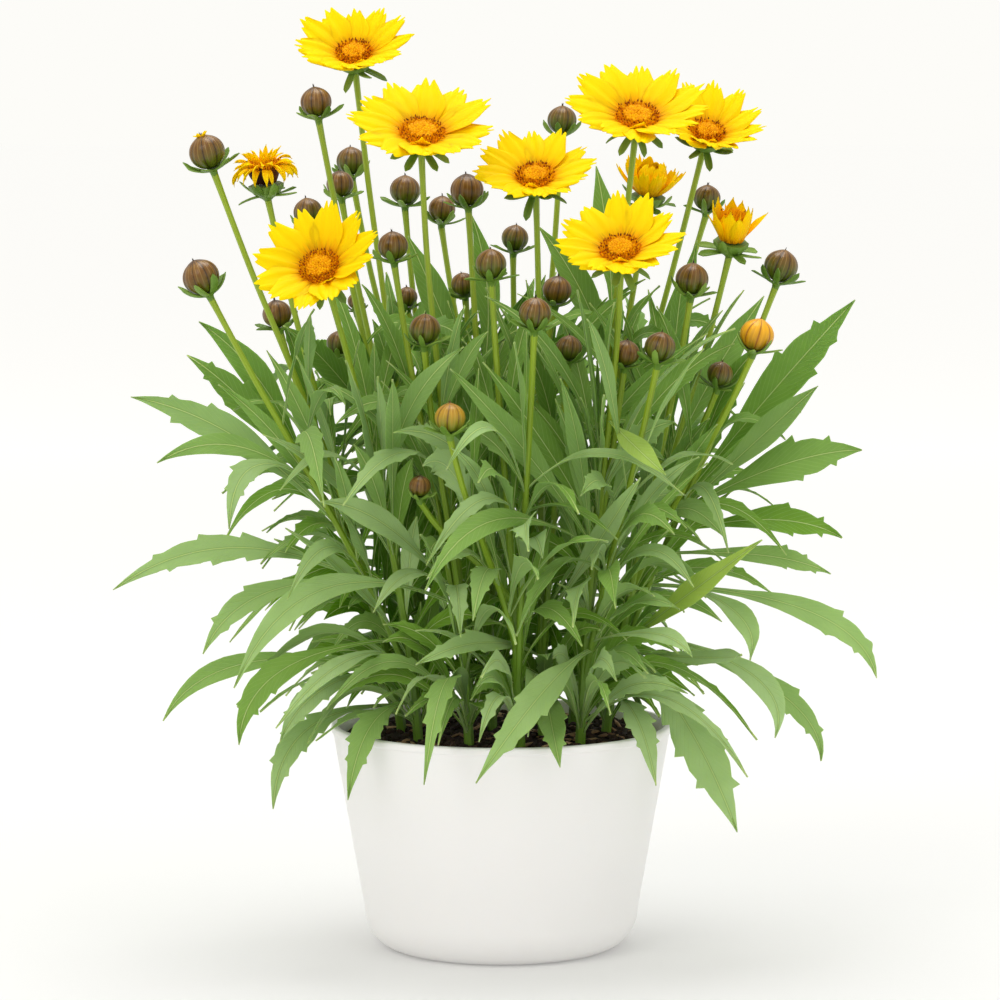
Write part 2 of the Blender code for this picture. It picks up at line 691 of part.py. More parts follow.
class LeafPart:
    """The outer stretch of a leaf, for the test against its own shoot."""

    def __init__(self, leaf, start):
        self.leaf, self.start = leaf, start
        self.facing, self.width = leaf.facing, leaf.width

    def at(self, share):
        return self.leaf.at(self.start + (1 - self.start) * share)

    def rows(self):
        return [(0, 0.7), (0.35, 1.1), (0.7, 0.7), (1, 0)]


def leaf_is_clear(leaf, shoot, placed):
    whole = blade_mesh(leaf, BLADE + 1.3 * MM)
    if any(p.z < SOIL_TOP + 3 * MM and math.hypot(p.x, p.y) < POT_RIM_RADIUS + 3 * MM for p in whole[0][8:]):
        return False
    if placed.meets(shoot, *whole, own=False):
        return False
    return not placed.meets(shoot, *blade_mesh(LeafPart(leaf, 0.3), BLADE + 1.0 * MM), own=True)


def nearest_stem(pixel, depth_mm, shoots):
    """The shoot, stem point and share whose picture is nearest to a pixel, at about that depth."""
    best = None
    for name, stems in shoots.items():
        for rank, (_, run) in enumerate(stems):
            for k in range(3, 34):
                share = k / 40
                point, way = smooth_run(run, share)
                if point.z < SOIL_TOP + 6 * MM:
                    continue
                u, v = seen(point)
                cost = math.hypot(u - pixel[0], v - pixel[1]) + 0.35 * abs(point.y / MM - depth_mm)
                if best is None or cost < best[0]:
                    best = (cost, name, point, way)
    return best[1:]


def seen_leaf(row, shoots, placed):
    """A large leaf of the reference view, moved in depth until it is clear."""
    base_px, middle_px, tip_px, depth, width_px, teeth = row
    shoot, base, _ = nearest_stem(base_px, depth * 0.45, shoots)
    for step in (0, 1, -1, 2, -2, 3, -3, 4, -4, 5, -5, 6):
        tip_depth = depth + 7 * step
        tip = spot(*tip_px, tip_depth)
        middle_depth = (base.y / MM + tip_depth) / 2
        middle = spot(*middle_px, middle_depth)
        along = (tip - base).normalized()
        outward = Vector((middle.x, middle.y, 0)).normalized()
        facing = Vector((0, -0.85, 0.55)) + outward * 0.15
        leaf = Leaf(base, middle, tip, facing - along * facing.dot(along), pixels(width_px, tip_depth), teeth)
        if leaf_is_clear(leaf, shoot, placed):
            return shoot, leaf
    return None


def rule_leaf(rng, shoots, placed, number):
    """A leaf of the seeded rule: it grows from a stem, outwards and up, and then arches over."""
    names = list(shoots)
    for _ in range(LEAF_TRIES):
        name = names[number % len(names)] if rng.random() < 0.6 else rng.choice(names)
        stems = shoots[name]
        _, run = stems[rng.randrange(len(stems))] if rng.random() < 0.5 else stems[0]
        share = rng.uniform(0.16, 0.62) if number % 2 else rng.uniform(0.16, 0.34)
        base, way = smooth_run(run, share)
        height = (base.z - SOIL_TOP) / MM
        if height < 5 or height > 190:
            continue
        outward = Vector((base.x, base.y + 6 * MM, 0))
        heading = math.atan2(outward.y, outward.x) + rng.gauss(0, 0.75)
        if rng.random() < 0.45:
            heading = rng.uniform(0.1 * math.pi, 0.9 * math.pi)
        out = Vector((math.cos(heading), math.sin(heading), 0))
        low = max(0.0, 1 - height / 120)
        length = rng.uniform(58, 92) * MM * (1 - 0.25 * height / 190)
        climb = math.radians(rng.uniform(18, 48) + 22 * (1 - low))
        tip = base + (out * math.cos(climb) + Vector((0, 0, math.sin(climb)))) * length
        sag = (0.30 + 0.55 * low) * length
        middle = base.lerp(tip, 0.5) + Vector((0, 0, 0.10 * length))
        tip.z -= sag * 0.8
        middle.z -= sag * 0.10
        if tip.z < 52 * MM or math.hypot(tip.x, tip.y) > 172 * MM:
            continue
        facing = Vector((0, 0, 1)) + out * 0.5 + Vector((rng.uniform(-0.6, 0.6), rng.uniform(-0.6, 0.6), 0))
        along = (tip - base).normalized()
        leaf = Leaf(base, middle, tip, facing - along * facing.dot(along), rng.uniform(10, 14.5) * MM, rng.choice((0, 0, 1, 1, 2)))
        if leaf_is_clear(leaf, name, placed):
            return name, leaf
    return None


def pot_profile():
    """The outline of the pot's wall, from the foot's middle up the outside and down the inside."""
    corner_steps = 3
    outer = [(0.0, 0.0), (POT_FOOT_RADIUS, 0.0)]
    for k in range(1, corner_steps + 1):
        turn = math.radians(90) * k / corner_steps
        radius = POT_FOOT_RADIUS + (POT_SIDE_RADIUS - POT_FOOT_RADIUS) * math.sin(turn)
        outer.append((radius, POT_SIDE_HEIGHT * (1 - math.cos(turn))))
    lip_low = POT_HEIGHT - 3.4 * MM
    slope = (POT_RIM_RADIUS - POT_LIP - POT_SIDE_RADIUS) / (lip_low - POT_SIDE_HEIGHT)
    outer += [
        (POT_SIDE_RADIUS + slope * (lip_low - POT_SIDE_HEIGHT), lip_low),
        (POT_RIM_RADIUS, lip_low + 0.8 * MM),
        (POT_RIM_RADIUS, POT_HEIGHT - 0.9 * MM),
        (POT_RIM_RADIUS - 1.0 * MM, POT_HEIGHT),
        (POT_RIM_RADIUS - POT_WALL, POT_HEIGHT),
    ]
    inner = [
        (inner_radius(POT_HEIGHT - 4 * MM), POT_HEIGHT - 4 * MM),
        (inner_radius(POT_SIDE_HEIGHT), POT_SIDE_HEIGHT),
        (POT_FOOT_RADIUS, POT_WALL),
        (0.0, POT_WALL),
    ]
    return outer + inner


def inner_radius(height):
    """The pot's inner radius at a height on its straight side."""
    share = (height - POT_SIDE_HEIGHT) / (POT_HEIGHT - POT_SIDE_HEIGHT)
    return POT_SIDE_RADIUS - POT_WALL + (POT_RIM_RADIUS - POT_LIP - POT_SIDE_RADIUS) * share


def turned_mesh(profile, sides):
    """A closed solid turned about Z from an outline that starts and ends on the axis."""
    points, faces, rings = [], [], []
    for radius, height in profile:
        if radius == 0:
            rings.append([len(points)] * sides)
            points.append(Vector((0, 0, height)))
            continue
        rings.append(list(range(len(points), len(points) + sides)))
        for k in range(sides):
            turn = math.tau * k / sides
            points.append(Vector((radius * math.cos(turn), radius * math.sin(turn), height)))
    for low, high in zip(rings, rings[1:]):
        for k in range(sides):
            after = (k + 1) % sides
            corners = [low[k], low[after], high[after], high[k]]
            if corners[0] == corners[1]:
                faces.append((corners[0], corners[2], corners[3]))
            elif corners[2] == corners[3]:
                faces.append((corners[0], corners[1], corners[2]))
            else:
                faces += [(corners[0], corners[1], corners[2]), (corners[0], corners[2], corners[3])]
    return points, facing_out(points, faces)


def soil_mesh():
    """The root ball and soil, with a slightly heaped and lumpy top."""
    rng = random.Random(SEED + 1)
    top_radius = inner_radius(SOIL_TOP) - 2 * GAP
    profile = [
        (0.0, POT_WALL + GAP),
        (POT_FOOT_RADIUS - 1.5 * MM, POT_WALL + GAP),
        (inner_radius(POT_SIDE_HEIGHT) - 2.5 * GAP, POT_SIDE_HEIGHT + 0.5 * MM),
        (top_radius, SOIL_TOP - 2 * MM),
        (top_radius * 0.62, SOIL_TOP + SOIL_CROWN * 0.4),
        (0.0, SOIL_TOP + SOIL_CROWN),
    ]
    points, faces = turned_mesh(profile, POT_SIDES // 2)
    for point in points:
        if point.z > SOIL_TOP - 1 * MM:
            point.z += rng.uniform(-0.8, 0.8) * MM
    return points, faces


def material(name, colour, roughness):
    made = bpy.data.materials.new(name)
    made.use_nodes = True
    shader = made.node_tree.nodes["Principled BSDF"]
    shader.inputs["Base Color"].default_value = (*colour, 1)
    shader.inputs["Roughness"].default_value = roughness
    shader.inputs["Metallic"].default_value = 0.0
    made.diffuse_color = (*colour, 1)
    return made


def new_object(name, points, faces, finish=None):
    mesh = bpy.data.meshes.new(name)
    mesh.from_pydata([tuple(p) for p in points], [], faces)
    mesh.validate()
    made = bpy.data.objects.new(name, mesh)
    bpy.context.scene.collection.objects.link(made)
    if finish:
        mesh.materials.append(finish)
    return made


def joined(name, pieces, finish, solver="MANIFOLD"):
    """One closed body: the first piece with all the others joined to it by a Boolean union."""
    body = new_object(name, pieces[0][0], facing_out(*pieces[0]), finish)
    group = bpy.data.collections.new(name + "_pieces")
    bpy.context.scene.collection.children.link(group)
    helpers = []
    for number, (points, faces) in enumerate(pieces[1:]):
        helper = new_object(f"{name}_piece_{number}", points, facing_out(points, faces))
        bpy.context.scene.collection.objects.unlink(helper)
        group.objects.link(helper)
        helpers.append(helper)
    union = body.modifiers.new("join", "BOOLEAN")
    union.operation = "UNION"
    union.operand_type = "COLLECTION"
    union.collection = group
    union.solver = solver
    apply_modifiers(body)
    for helper in helpers:
        bpy.data.objects.remove(helper)
    bpy.data.collections.remove(group)
    return body


def apply_modifiers(made):
    """Replaces an object's mesh with what its modifiers make of it."""
    graph = bpy.context.evaluated_depsgraph_get()
    result = bpy.data.meshes.new_from_object(made.evaluated_get(graph))
    made.modifiers.clear()
    made.data = result


def cut_holes(soil, feet):
    """A plain hole in the soil for each shoot's foot."""
    for name, (x, y) in feet.items():
        centre = Vector((x * MM, y * MM, 0))
        low = centre + Vector((0, 0, SOIL_TOP - HOLE_DEPTH))
        high = centre + Vector((0, 0, SOIL_TOP + 8 * MM))
        radius = (STEM_FOOT_RADIUS + HOLE_PLAY) / math.cos(math.pi / 6)
        points, faces = tube_mesh([low, high], [radius, radius], 6)
        cutter = new_object("hole_" + name, points, facing_out(points, faces))
        cut = soil.modifiers.new("hole", "BOOLEAN")
        cut.operation = "DIFFERENCE"
        cut.object = cutter
        apply_modifiers(soil)
        bpy.data.objects.remove(cutter)


def plan():
    """Where everything is: heads, shoots with their stems, and the leaves of each shoot."""
    heads = {name: Head(name, row) for name, row in HEADS.items()}
    shoots = {}
    for name, foot in SHOOTS.items():
        shoots[name] = grow_shoot(foot, [h for h in heads.values() if h.shoot == name])
    nearest = spread_stems(shoots)
    placed = Placed()
    for name, stems in shoots.items():
        for rank, (head, run) in enumerate(stems):
            placed.add(name, *stem_mesh(run, rank == 0))
            placed.add(name, *calyx_mesh(head))
    for head in heads.values():
        for piece, _, (points, faces) in head_pieces(head):
            placed.add(piece, points, faces)
    placed.add("pot", *turned_mesh(pot_profile(), POT_SIDES))
    leaves = {name: [] for name in shoots}
    missed = []
    for row in LEAVES:
        found = seen_leaf(row, shoots, placed)
        if found:
            shoot, leaf = found
            leaves[shoot].append(leaf)
            placed.add(shoot, *blade_mesh(leaf, BLADE))
        else:
            missed.append(row[2])
    rng = random.Random(SEED)
    for number in range(FILL_LEAVES):
        found = rule_leaf(rng, shoots, placed, number)
        if found:
            shoot, leaf = found
            leaves[shoot].append(leaf)
            placed.add(shoot, *blade_mesh(leaf, BLADE))
    print("least stem distance", round(nearest / MM, 2), "mm; seen leaves left out:", missed)
    print("leaves:", {name: len(group) for name, group in leaves.items()})
    return heads, shoots, leaves


def main():
    for old in list(bpy.data.objects):
        bpy.data.objects.remove(old)
    finish = {
        "pot": material("pot_white", (0.80, 0.79, 0.77), 0.35),
        "soil": material("soil_brown", (0.055, 0.032, 0.02), 0.95),
        "green": material("leaf_green", (0.12, 0.27, 0.07), 0.5),
        "petal": material("petal_yellow", (0.95, 0.66, 0.01), 0.5),
        "orange_petal": material("petal_orange", (0.85, 0.36, 0.01), 0.5),
        "disc": material("disc_orange", (0.75, 0.31, 0.01), 0.6),
        "bud": material("bud_brown", (0.13, 0.085, 0.04), 0.45),
        "lime_bud": material("bud_lime", (0.42, 0.33, 0.04), 0.45),
    }
    heads, shoots, leaves = plan()
    new_object("pot", *turned_mesh(pot_profile(), POT_SIDES), finish["pot"])
    soil = new_object("soil", *soil_mesh(), finish["soil"])
    cut_holes(soil, SHOOTS)
    for name, stems in shoots.items():
        pieces = [stem_mesh(run, rank == 0) for rank, (_, run) in enumerate(stems)]
        pieces += [calyx_mesh(head) for head, _ in stems]
        pieces += [blade_mesh(leaf, BLADE) for leaf in leaves[name]]
        joined("shoot_" + name, pieces, finish["green"])
    for head in heads.values():
        for name, colour, (points, faces) in head_pieces(head):
            new_object(name, points, faces, finish[colour])


main()
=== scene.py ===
# %% [markdown]
# # A tickseed clump in a white pot
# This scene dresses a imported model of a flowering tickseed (coreopsis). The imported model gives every
# node its place. The script repeats the seeded rule that placed stems and leaves, and builds finer
# meshes on the same lines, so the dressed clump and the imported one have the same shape.

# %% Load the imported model
import math
import random

import bpy
import numpy as np
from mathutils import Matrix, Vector
from mathutils.bvhtree import BVHTree


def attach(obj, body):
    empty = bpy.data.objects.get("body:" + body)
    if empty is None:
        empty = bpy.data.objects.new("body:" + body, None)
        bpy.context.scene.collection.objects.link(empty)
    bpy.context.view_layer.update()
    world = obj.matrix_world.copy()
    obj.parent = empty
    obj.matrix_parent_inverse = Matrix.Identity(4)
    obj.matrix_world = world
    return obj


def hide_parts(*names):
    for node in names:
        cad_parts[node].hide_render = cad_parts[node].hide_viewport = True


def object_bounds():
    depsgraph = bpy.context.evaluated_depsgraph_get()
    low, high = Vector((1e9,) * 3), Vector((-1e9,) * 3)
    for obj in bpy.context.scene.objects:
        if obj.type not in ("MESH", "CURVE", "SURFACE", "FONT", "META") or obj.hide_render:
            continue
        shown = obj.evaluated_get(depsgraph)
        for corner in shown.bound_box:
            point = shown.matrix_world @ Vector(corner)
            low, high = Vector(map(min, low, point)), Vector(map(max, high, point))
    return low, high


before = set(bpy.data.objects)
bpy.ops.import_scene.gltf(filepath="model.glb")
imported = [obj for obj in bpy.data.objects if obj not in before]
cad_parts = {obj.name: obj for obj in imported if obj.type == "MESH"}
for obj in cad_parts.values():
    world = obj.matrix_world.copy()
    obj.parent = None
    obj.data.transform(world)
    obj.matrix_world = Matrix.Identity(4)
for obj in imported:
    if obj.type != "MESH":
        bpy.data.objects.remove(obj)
packed_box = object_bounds()
LOW, HIGH = (np.array(corner) for corner in packed_box)
print("packed nodes:", len(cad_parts), "box:", LOW.round(4), HIGH.round(4))

# %% [markdown]
# ## The view and the scale
# The pot is the common 15 cm size, so one pixel of the view is about 0.43 mm at the pot's middle. A
# long lens from 1.8 m keeps the upright stems parallel, as in a product picture.

# %% Sizes and the view
MM = 0.001
GAP = 0.3 * MM  # the play between two pieces that rest on each other
POT_HEIGHT = 98 * MM
POT_RIM_RADIUS = 74.5 * MM
POT_SIDE_RADIUS = 60 * MM  # where the foot corner ends
POT_SIDE_HEIGHT = 17 * MM
POT_FOOT_RADIUS = 46 * MM
POT_WALL = 3 * MM
POT_LIP = 0.8 * MM
SOIL_TOP = 93 * MM
SOIL_CROWN = 2.0 * MM
HOLE_DEPTH = 14 * MM
VIEW_DISTANCE = 1.8
VIEW_HEIGHT = 0.370
VIEW_SIDE = -0.0006
VIEW_PITCH = math.radians(5.53)
VIEW_FOCAL = 4152.0  # in pixels of a 1000 pixel frame
VIEW_CENTRE = 500.0
STEM_SIDES = 5
STEM_POINTS = 6
BRANCH_POINTS = 5
STEM_FOOT_RADIUS = 2.5 * MM
STEM_TOP_RADIUS = 1.35 * MM
STEM_CLEAR = 1.6 * MM  # least air between two shoots' stems
BLADE = 0.7 * MM
PETALS = 12
PETAL_BLADE = 0.7 * MM
DISC_SHARE = 0.29  # of a bloom's radius
HUB_SHARE = 0.30
PETAL_RISE = {  # how steeply a bloom's petals rise towards their tips, in degrees
    "bloom_top": 23,
    "bloom_left": 20,
    "bloom_high_left": 14,
    "bloom_middle": 16,
    "bloom_high_right": 16,
    "bloom_far_right": 24,
    "bloom_right": 18,
}
FILL_LEAVES = 54
LEAF_TRIES = 14
SEED = 7
print("one pixel at the pot's middle is", round(VIEW_DISTANCE / VIEW_FOCAL / MM, 3), "mm")

# %% [markdown]
# ## Where the shoots, heads and large leaves are
# Each head and each large leaf has a place in the view and a depth behind the pot's middle. This is
# how a florist would describe the clump: which shoot a bloom is on, how high, and which way it looks.

# %% The feet of the shoots
SHOOTS = {
    "left_front": (-36, -26),
    "left": (-44, 2),
    "left_back": (-32, 24),
    "back_left": (-14, 42),
    "front_left": (-14, -36),
    "back": (10, 44),
    "middle": (-4, 6),
    "front": (8, -46),
    "middle_right": (18, -14),
    "front_right": (34, -34),
    "right": (46, -4),
    "right_back": (32, 26),
}
print(len(SHOOTS), "shoots, with their feet in mm from the pot's middle")

# %% The heads
HEADS = {  # shoot, kind, pixel across and down, depth in mm, pixels wide, lean right and near in degrees
    "bloom_top": ("left_back", "bloom", 354, 54, 40, 118, -2, 38),
    "bloom_left": ("left_front", "bloom", 320, 268, -62, 132, -14, 50),
    "bloom_high_left": ("front_left", "bloom", 422, 133, -28, 149, 3, 33),
    "bloom_middle": ("middle_right", "bloom", 535, 177, -22, 125, -3, 34),
    "bloom_high_right": ("right_back", "bloom", 637, 117, 2, 145, 3, 34),
    "bloom_far_right": ("right_back", "bloom", 707, 133, 60, 116, 8, 35),
    "bloom_right": ("front_right", "bloom", 620, 250, -66, 132, -4, 36),
    "faded": ("left", "faded", 264, 168, -2, 62, -6, 10),
    "opening_back": ("right_back", "opening", 650, 182, 44, 64, 6, 14),
    "opening_cup": ("right", "cup", 733, 228, -18, 46, 6, 18),
    "bud_yellow": ("right", "yellow_bud", 757, 335, -44, 34, 12, 6),
    "bud_lime": ("front", "lime_bud", 450, 418, -84, 31, 0, 4),
    "bud_01": ("left_back", "bud", 316, 102, 18, 31, -8, 4),
    "bud_02": ("left", "bud", 207, 152, -12, 36, -18, 6),
    "bud_03": ("back_left", "bud", 351, 161, 86, 29, -4, 2),
    "bud_04": ("left_back", "bud", 340, 184, 58, 27, -6, 0),
    "bud_05": ("back_left", "bud", 308, 212, 72, 29, -10, 4),
    "bud_06": ("left_front", "bud", 201, 277, -42, 37, -24, 4),
    "bud_07": ("left", "bud", 277, 314, 14, 29, -10, 2),
    "bud_08": ("front_left", "bud", 393, 246, -24, 30, -4, 6),
    "bud_09": ("back_left", "bud", 405, 190, 84, 30, 0, 2),
    "bud_10": ("back", "bud", 442, 209, 92, 27, 2, 2),
    "bud_11": ("middle", "bud", 467, 190, 24, 33, -4, 2),
    "bud_12": ("back_left", "green_bud", 356, 301, 60, 17, -4, 10),
    "bud_13": ("left_back", "green_bud", 339, 343, 12, 25, 0, 0),
    "bud_14": ("back", "green_bud", 407, 297, 66, 21, -2, 4),
    "bud_15": ("front_left", "bud", 425, 329, -54, 31, 2, 6),
    "bud_16": ("middle", "green_bud", 463, 284, 40, 24, -8, 20),
    "bud_17": ("front", "bud", 491, 264, -50, 31, -2, 6),
    "bud_18": ("back", "bud", 515, 238, 68, 27, 6, 4),
    "bud_19": ("front", "bud", 535, 313, -76, 32, 2, 10),
    "bud_20": ("middle", "bud", 557, 290, 30, 29, 6, 6),
    "bud_21": ("back", "bud", 562, 120, 84, 29, 2, 2),
    "bud_22": ("middle_right", "bud", 569, 348, -30, 26, 4, 4),
    "bud_23": ("front_right", "bud", 626, 353, -42, 27, 6, 10),
    "bud_24": ("front_right", "bud", 660, 347, -66, 31, 8, 4),
    "bud_25": ("right", "bud", 692, 279, -30, 33, 4, 4),
    "bud_26": ("right_back", "bud", 707, 198, 78, 27, 4, 2),
    "bud_27": ("right", "bud", 720, 374, -14, 26, 10, 8),
    "bud_28": ("right", "bud", 781, 266, 6, 34, 14, 4),
    "bud_29": ("left", "green_bud", 258, 384, 30, 16, -8, 8),
    "bud_30": ("front", "green_bud", 420, 486, -64, 22, 0, 10),
}
print(len(HEADS), "heads")

# %% The large leaves
LEAVES = [  # pixels of the base, the middle and the tip; the tip's depth in mm; pixels wide; teeth
    ((325, 530), (235, 437), (131, 397), -20, 36, 1),
    ((310, 500), (252, 410), (187, 355), 14, 30, 1),
    ((318, 470), (262, 384), (199, 322), 44, 30, 0),
    ((300, 500), (235, 446), (157, 463), -40, 24, 0),
    ((300, 492), (252, 468), (229, 529), -66, 26, 1),
    ((335, 592), (232, 548), (113, 590), -34, 30, 2),
    ((345, 600), (262, 595), (203, 654), -70, 28, 1),
    ((345, 672), (243, 664), (163, 721), -10, 24, 0),
    ((345, 655), (280, 672), (239, 745), -62, 32, 1),
    ((385, 705), (307, 730), (273, 809), -50, 30, 2),
    ((440, 608), (322, 590), (234, 688), -94, 32, 0),
    ((405, 705), (372, 725), (348, 800), -62, 30, 2),
    ((362, 712), (336, 738), (313, 782), -24, 24, 1),
    ((390, 672), (322, 690), (280, 742), -84, 30, 1),
    ((405, 665), (345, 662), (276, 728), -104, 20, 0),
    ((575, 548), (497, 520), (425, 590), -112, 28, 0),
    ((550, 662), (484, 643), (416, 665), -110, 28, 1),
    ((600, 648), (545, 690), (476, 783), -112, 36, 1),
    ((548, 672), (549, 712), (560, 767), -96, 32, 1),
    ((612, 690), (636, 718), (656, 785), -92, 30, 2),
    ((650, 655), (690, 730), (737, 832), -78, 50, 2),
    ((612, 650), (684, 598), (762, 540), -96, 32, 0),
    ((612, 642), (655, 634), (692, 657), -122, 24, 0),
    ((690, 590), (735, 612), (750, 660), -86, 26, 0),
    ((720, 612), (810, 612), (877, 678), -36, 30, 1),
    ((720, 660), (775, 690), (821, 761), -20, 26, 1),
    ((715, 655), (752, 675), (775, 738), -58, 28, 0),
    ((700, 522), (780, 466), (862, 450), -24, 44, 1),
    ((705, 548), (772, 520), (842, 538), 6, 32, 1),
    ((700, 575), (765, 556), (830, 574), 34, 24, 1),
    ((700, 500), (776, 388), (855, 300), 10, 42, 1),
    ((690, 520), (760, 438), (818, 386), -34, 30, 0),
    ((690, 500), (748, 440), (801, 412), 44, 26, 0),
    ((672, 470), (712, 378), (764, 296), 36, 32, 0),
    ((602, 426), (632, 444), (666, 475), -108, 26, 0),
    ((590, 540), (548, 450), (483, 362), -56, 28, 0),
    ((585, 545), (528, 455), (450, 369), -84, 28, 0),
    ((385, 500), (410, 410), (464, 347), -74, 26, 0),
    ((612, 390), (585, 300), (538, 226), 38, 32, 0),
    ((620, 330), (608, 245), (596, 166), 62, 30, 0),
    ((450, 590), (385, 525), (321, 502), -92, 30, 0),
    ((405, 480), (345, 385), (284, 326), -30, 32, 1),
    ((470, 400), (440, 310), (408, 236), 50, 30, 0),
    ((500, 390), (488, 300), (471, 214), 50, 26, 0),
    ((655, 660), (705, 658), (742, 655), -70, 26, 0),
    ((640, 420), (672, 330), (697, 240), 44, 26, 0),
    ((560, 620), (600, 540), (640, 478), -92, 26, 0),
]
print(len(LEAVES), "large leaves")

# %% [markdown]
# ## From the view to the room
# A pixel and a depth give one point in the room. These helpers also find the way back, for the leaf
# that looks for the stem it grows from.

# %% Between a pixel and a point
def spot(px, py, depth_mm):
    """The point seen at a pixel of the reference view, at that depth behind the pot's middle."""
    right = (px - VIEW_CENTRE) / VIEW_FOCAL
    up = (VIEW_CENTRE - py) / VIEW_FOCAL
    sine, cosine = math.sin(VIEW_PITCH), math.cos(VIEW_PITCH)
    way = Vector((right, cosine + up * sine, up * cosine - sine))
    reach = (depth_mm * MM + VIEW_DISTANCE) / way.y
    return Vector((VIEW_SIDE, -VIEW_DISTANCE, VIEW_HEIGHT)) + way * reach


def seen(point):
    """The pixel of the reference view where a point is seen."""
    away = point - Vector((VIEW_SIDE, -VIEW_DISTANCE, VIEW_HEIGHT))
    sine, cosine = math.sin(VIEW_PITCH), math.cos(VIEW_PITCH)
    depth = away.y * cosine - away.z * sine
    up = away.y * sine + away.z * cosine
    return VIEW_CENTRE + VIEW_FOCAL * away.x / depth, VIEW_CENTRE - VIEW_FOCAL * up / depth


def pixels(count, depth_mm):
    """The real length of so many pixels at a depth."""
    return count * (VIEW_DISTANCE + depth_mm * MM) / VIEW_FOCAL


print("the top bloom's middle is at", [round(v / MM) for v in spot(354, 54, 40)], "mm")

# %% Curves and directions
def bezier(points, share):
    """A point on a quadratic or cubic Bezier curve."""
    points = [Vector(p) for p in points]
    while len(points) > 1:
        points = [a.lerp(b, share) for a, b in zip(points, points[1:])]
    return points[0]


def side_of(along, facing):
    """A unit vector across a blade that runs along one way and faces another."""
    side = along.cross(facing)
    if side.length < 1e-6:
        side = along.cross(Vector((1, 0, 0)))
    return side.normalized()


def smooth_run(run, share):
    """A point and a direction on a run of points, read as a Catmull-Rom curve."""
    place = share * (len(run) - 1)
    i = min(int(place), len(run) - 2)
    t = place - i
    p0, p1, p2, p3 = (run[max(0, min(len(run) - 1, i + k))] for k in (-1, 0, 1, 2))
    slope, square, cube = p2 - p0, p0 * 2 - p1 * 5 + p2 * 4 - p3, p1 * 3 - p0 - p2 * 3 + p3
    point = (p1 * 2 + slope * t + square * t**2 + cube * t**3) / 2
    way = slope + square * 2 * t + cube * 3 * t**2
    return point, way.normalized()


def ring_frame(axis):
    """Two unit vectors square to an axis."""
    one = axis.cross(Vector((0, 1, 0)))
    if one.length < 0.1:
        one = axis.cross(Vector((1, 0, 0)))
    one.normalize()
    return one, axis.cross(one).normalized()


def swing(one, two, turn):
    """The unit vector at a turn from one towards two, which are square to each other."""
    return one * math.cos(turn) + two * math.sin(turn)


def square_frames(centres):
    """For each ring of a run, two unit vectors square to the run, which don't twist along it."""
    one = None
    for i in range(len(centres)):
        way = (centres[min(i + 1, len(centres) - 1)] - centres[max(i - 1, 0)]).normalized()
        if one is None:
            one, _ = ring_frame(way)
        one = (one - way * one.dot(way)).normalized()
        yield one, way.cross(one)


print("a quarter turn:", [round(v) for v in swing(Vector((1, 0, 0)), Vector((0, 0, 1)), math.pi / 2)])

# %% [markdown]
# ## Stems
# A tickseed shoot branches low, and each branch runs nearly straight to one head. So each stem is a
# Bezier run that leaves its foot or fork along its parent and meets its head along the head's axis.
# Stems of different shoots then push each other apart, as they do when they grow into the light.

# %% What a head is
class Head:
    """A bloom or bud: where it is, which way it faces and how large it is."""

    def __init__(self, name, row):
        self.name = name
        self.shoot, self.kind, px, py, depth, size, lean_right, lean_near = row
        self.place = spot(px, py, depth)
        self.radius = pixels(size / 2, depth)
        right, near = math.radians(lean_right), math.radians(lean_near)
        axis = Vector((math.sin(right), -math.sin(near), math.cos(right) * math.cos(near)))
        self.axis = axis.normalized()
        self.flower = self.kind in ("bloom", "faded", "opening", "cup")

    def neck(self):
        """How far under the head's middle its green cup meets it."""
        if self.kind == "bloom":
            return 2.2 * MM
        if self.kind == "faded":
            return 7.0 * MM
        if self.flower:
            return 6.0 * MM
        return self.radius * 0.94

    def seat(self):
        return self.place - self.axis * self.neck()

    def cup_depth(self):
        return 6.5 * MM if self.flower else 2.6 * MM

    def stalk_end(self):
        return self.seat() - self.axis * self.cup_depth()


heads = {name: Head(name, row) for name, row in HEADS.items()}
print("the top bloom is", round(2 * heads["bloom_top"].radius / MM), "mm wide")

# %% How the stems of a shoot run
def stem_curve(foot, rise, end, end_way, reach, count):
    """A smooth run from a foot, leaving along rise, to an end that it meets along end_way."""
    knots = [foot, foot + rise * reach, end - end_way * reach * 0.8, end]
    return [bezier(knots, k / (count - 1)) for k in range(count)]


def grow_shoot(foot_xy, heads):
    """The stems of a shoot: the first runs from the soil to its highest head, the rest branch off it."""
    x, y = (v * MM for v in foot_xy)
    ordered = sorted(heads, key=lambda h: -h.place.z)
    top = ordered[0]
    foot = Vector((x, y, SOIL_TOP - HOLE_DEPTH + GAP))
    collar = Vector((x, y, SOIL_TOP + 4 * MM))
    end = top.stalk_end()
    lean = (end - collar).normalized()
    rise = (lean + Vector((0, 0, 1.4))).normalized()
    end_way = (top.axis + lean).normalized()
    main = [foot] + stem_curve(collar, rise, end, end_way, (end - collar).length * 0.36, STEM_POINTS)
    stems = [(top, main)]
    for rank, head in enumerate(ordered[1:]):
        end = head.stalk_end()
        share = 0.10 + 0.09 * rank
        fork = 1 + share * (STEM_POINTS - 1)
        first = int(fork)
        start = main[first].lerp(main[first + 1], fork - first)
        way = (main[first + 1] - main[first]).normalized()
        lean = (end - start).normalized()
        rise = (way * 0.5 + lean).normalized()
        run = (end - start).length
        end_way = (head.axis * 0.8 + lean).normalized()
        stems.append((head, stem_curve(start, rise, end, end_way, run * 0.33, BRANCH_POINTS)))
    return stems


shoots = {}
for name, foot in SHOOTS.items():
    shoots[name] = grow_shoot(foot, [h for h in heads.values() if h.shoot == name])
print("stems:", sum(len(stems) for stems in shoots.values()))

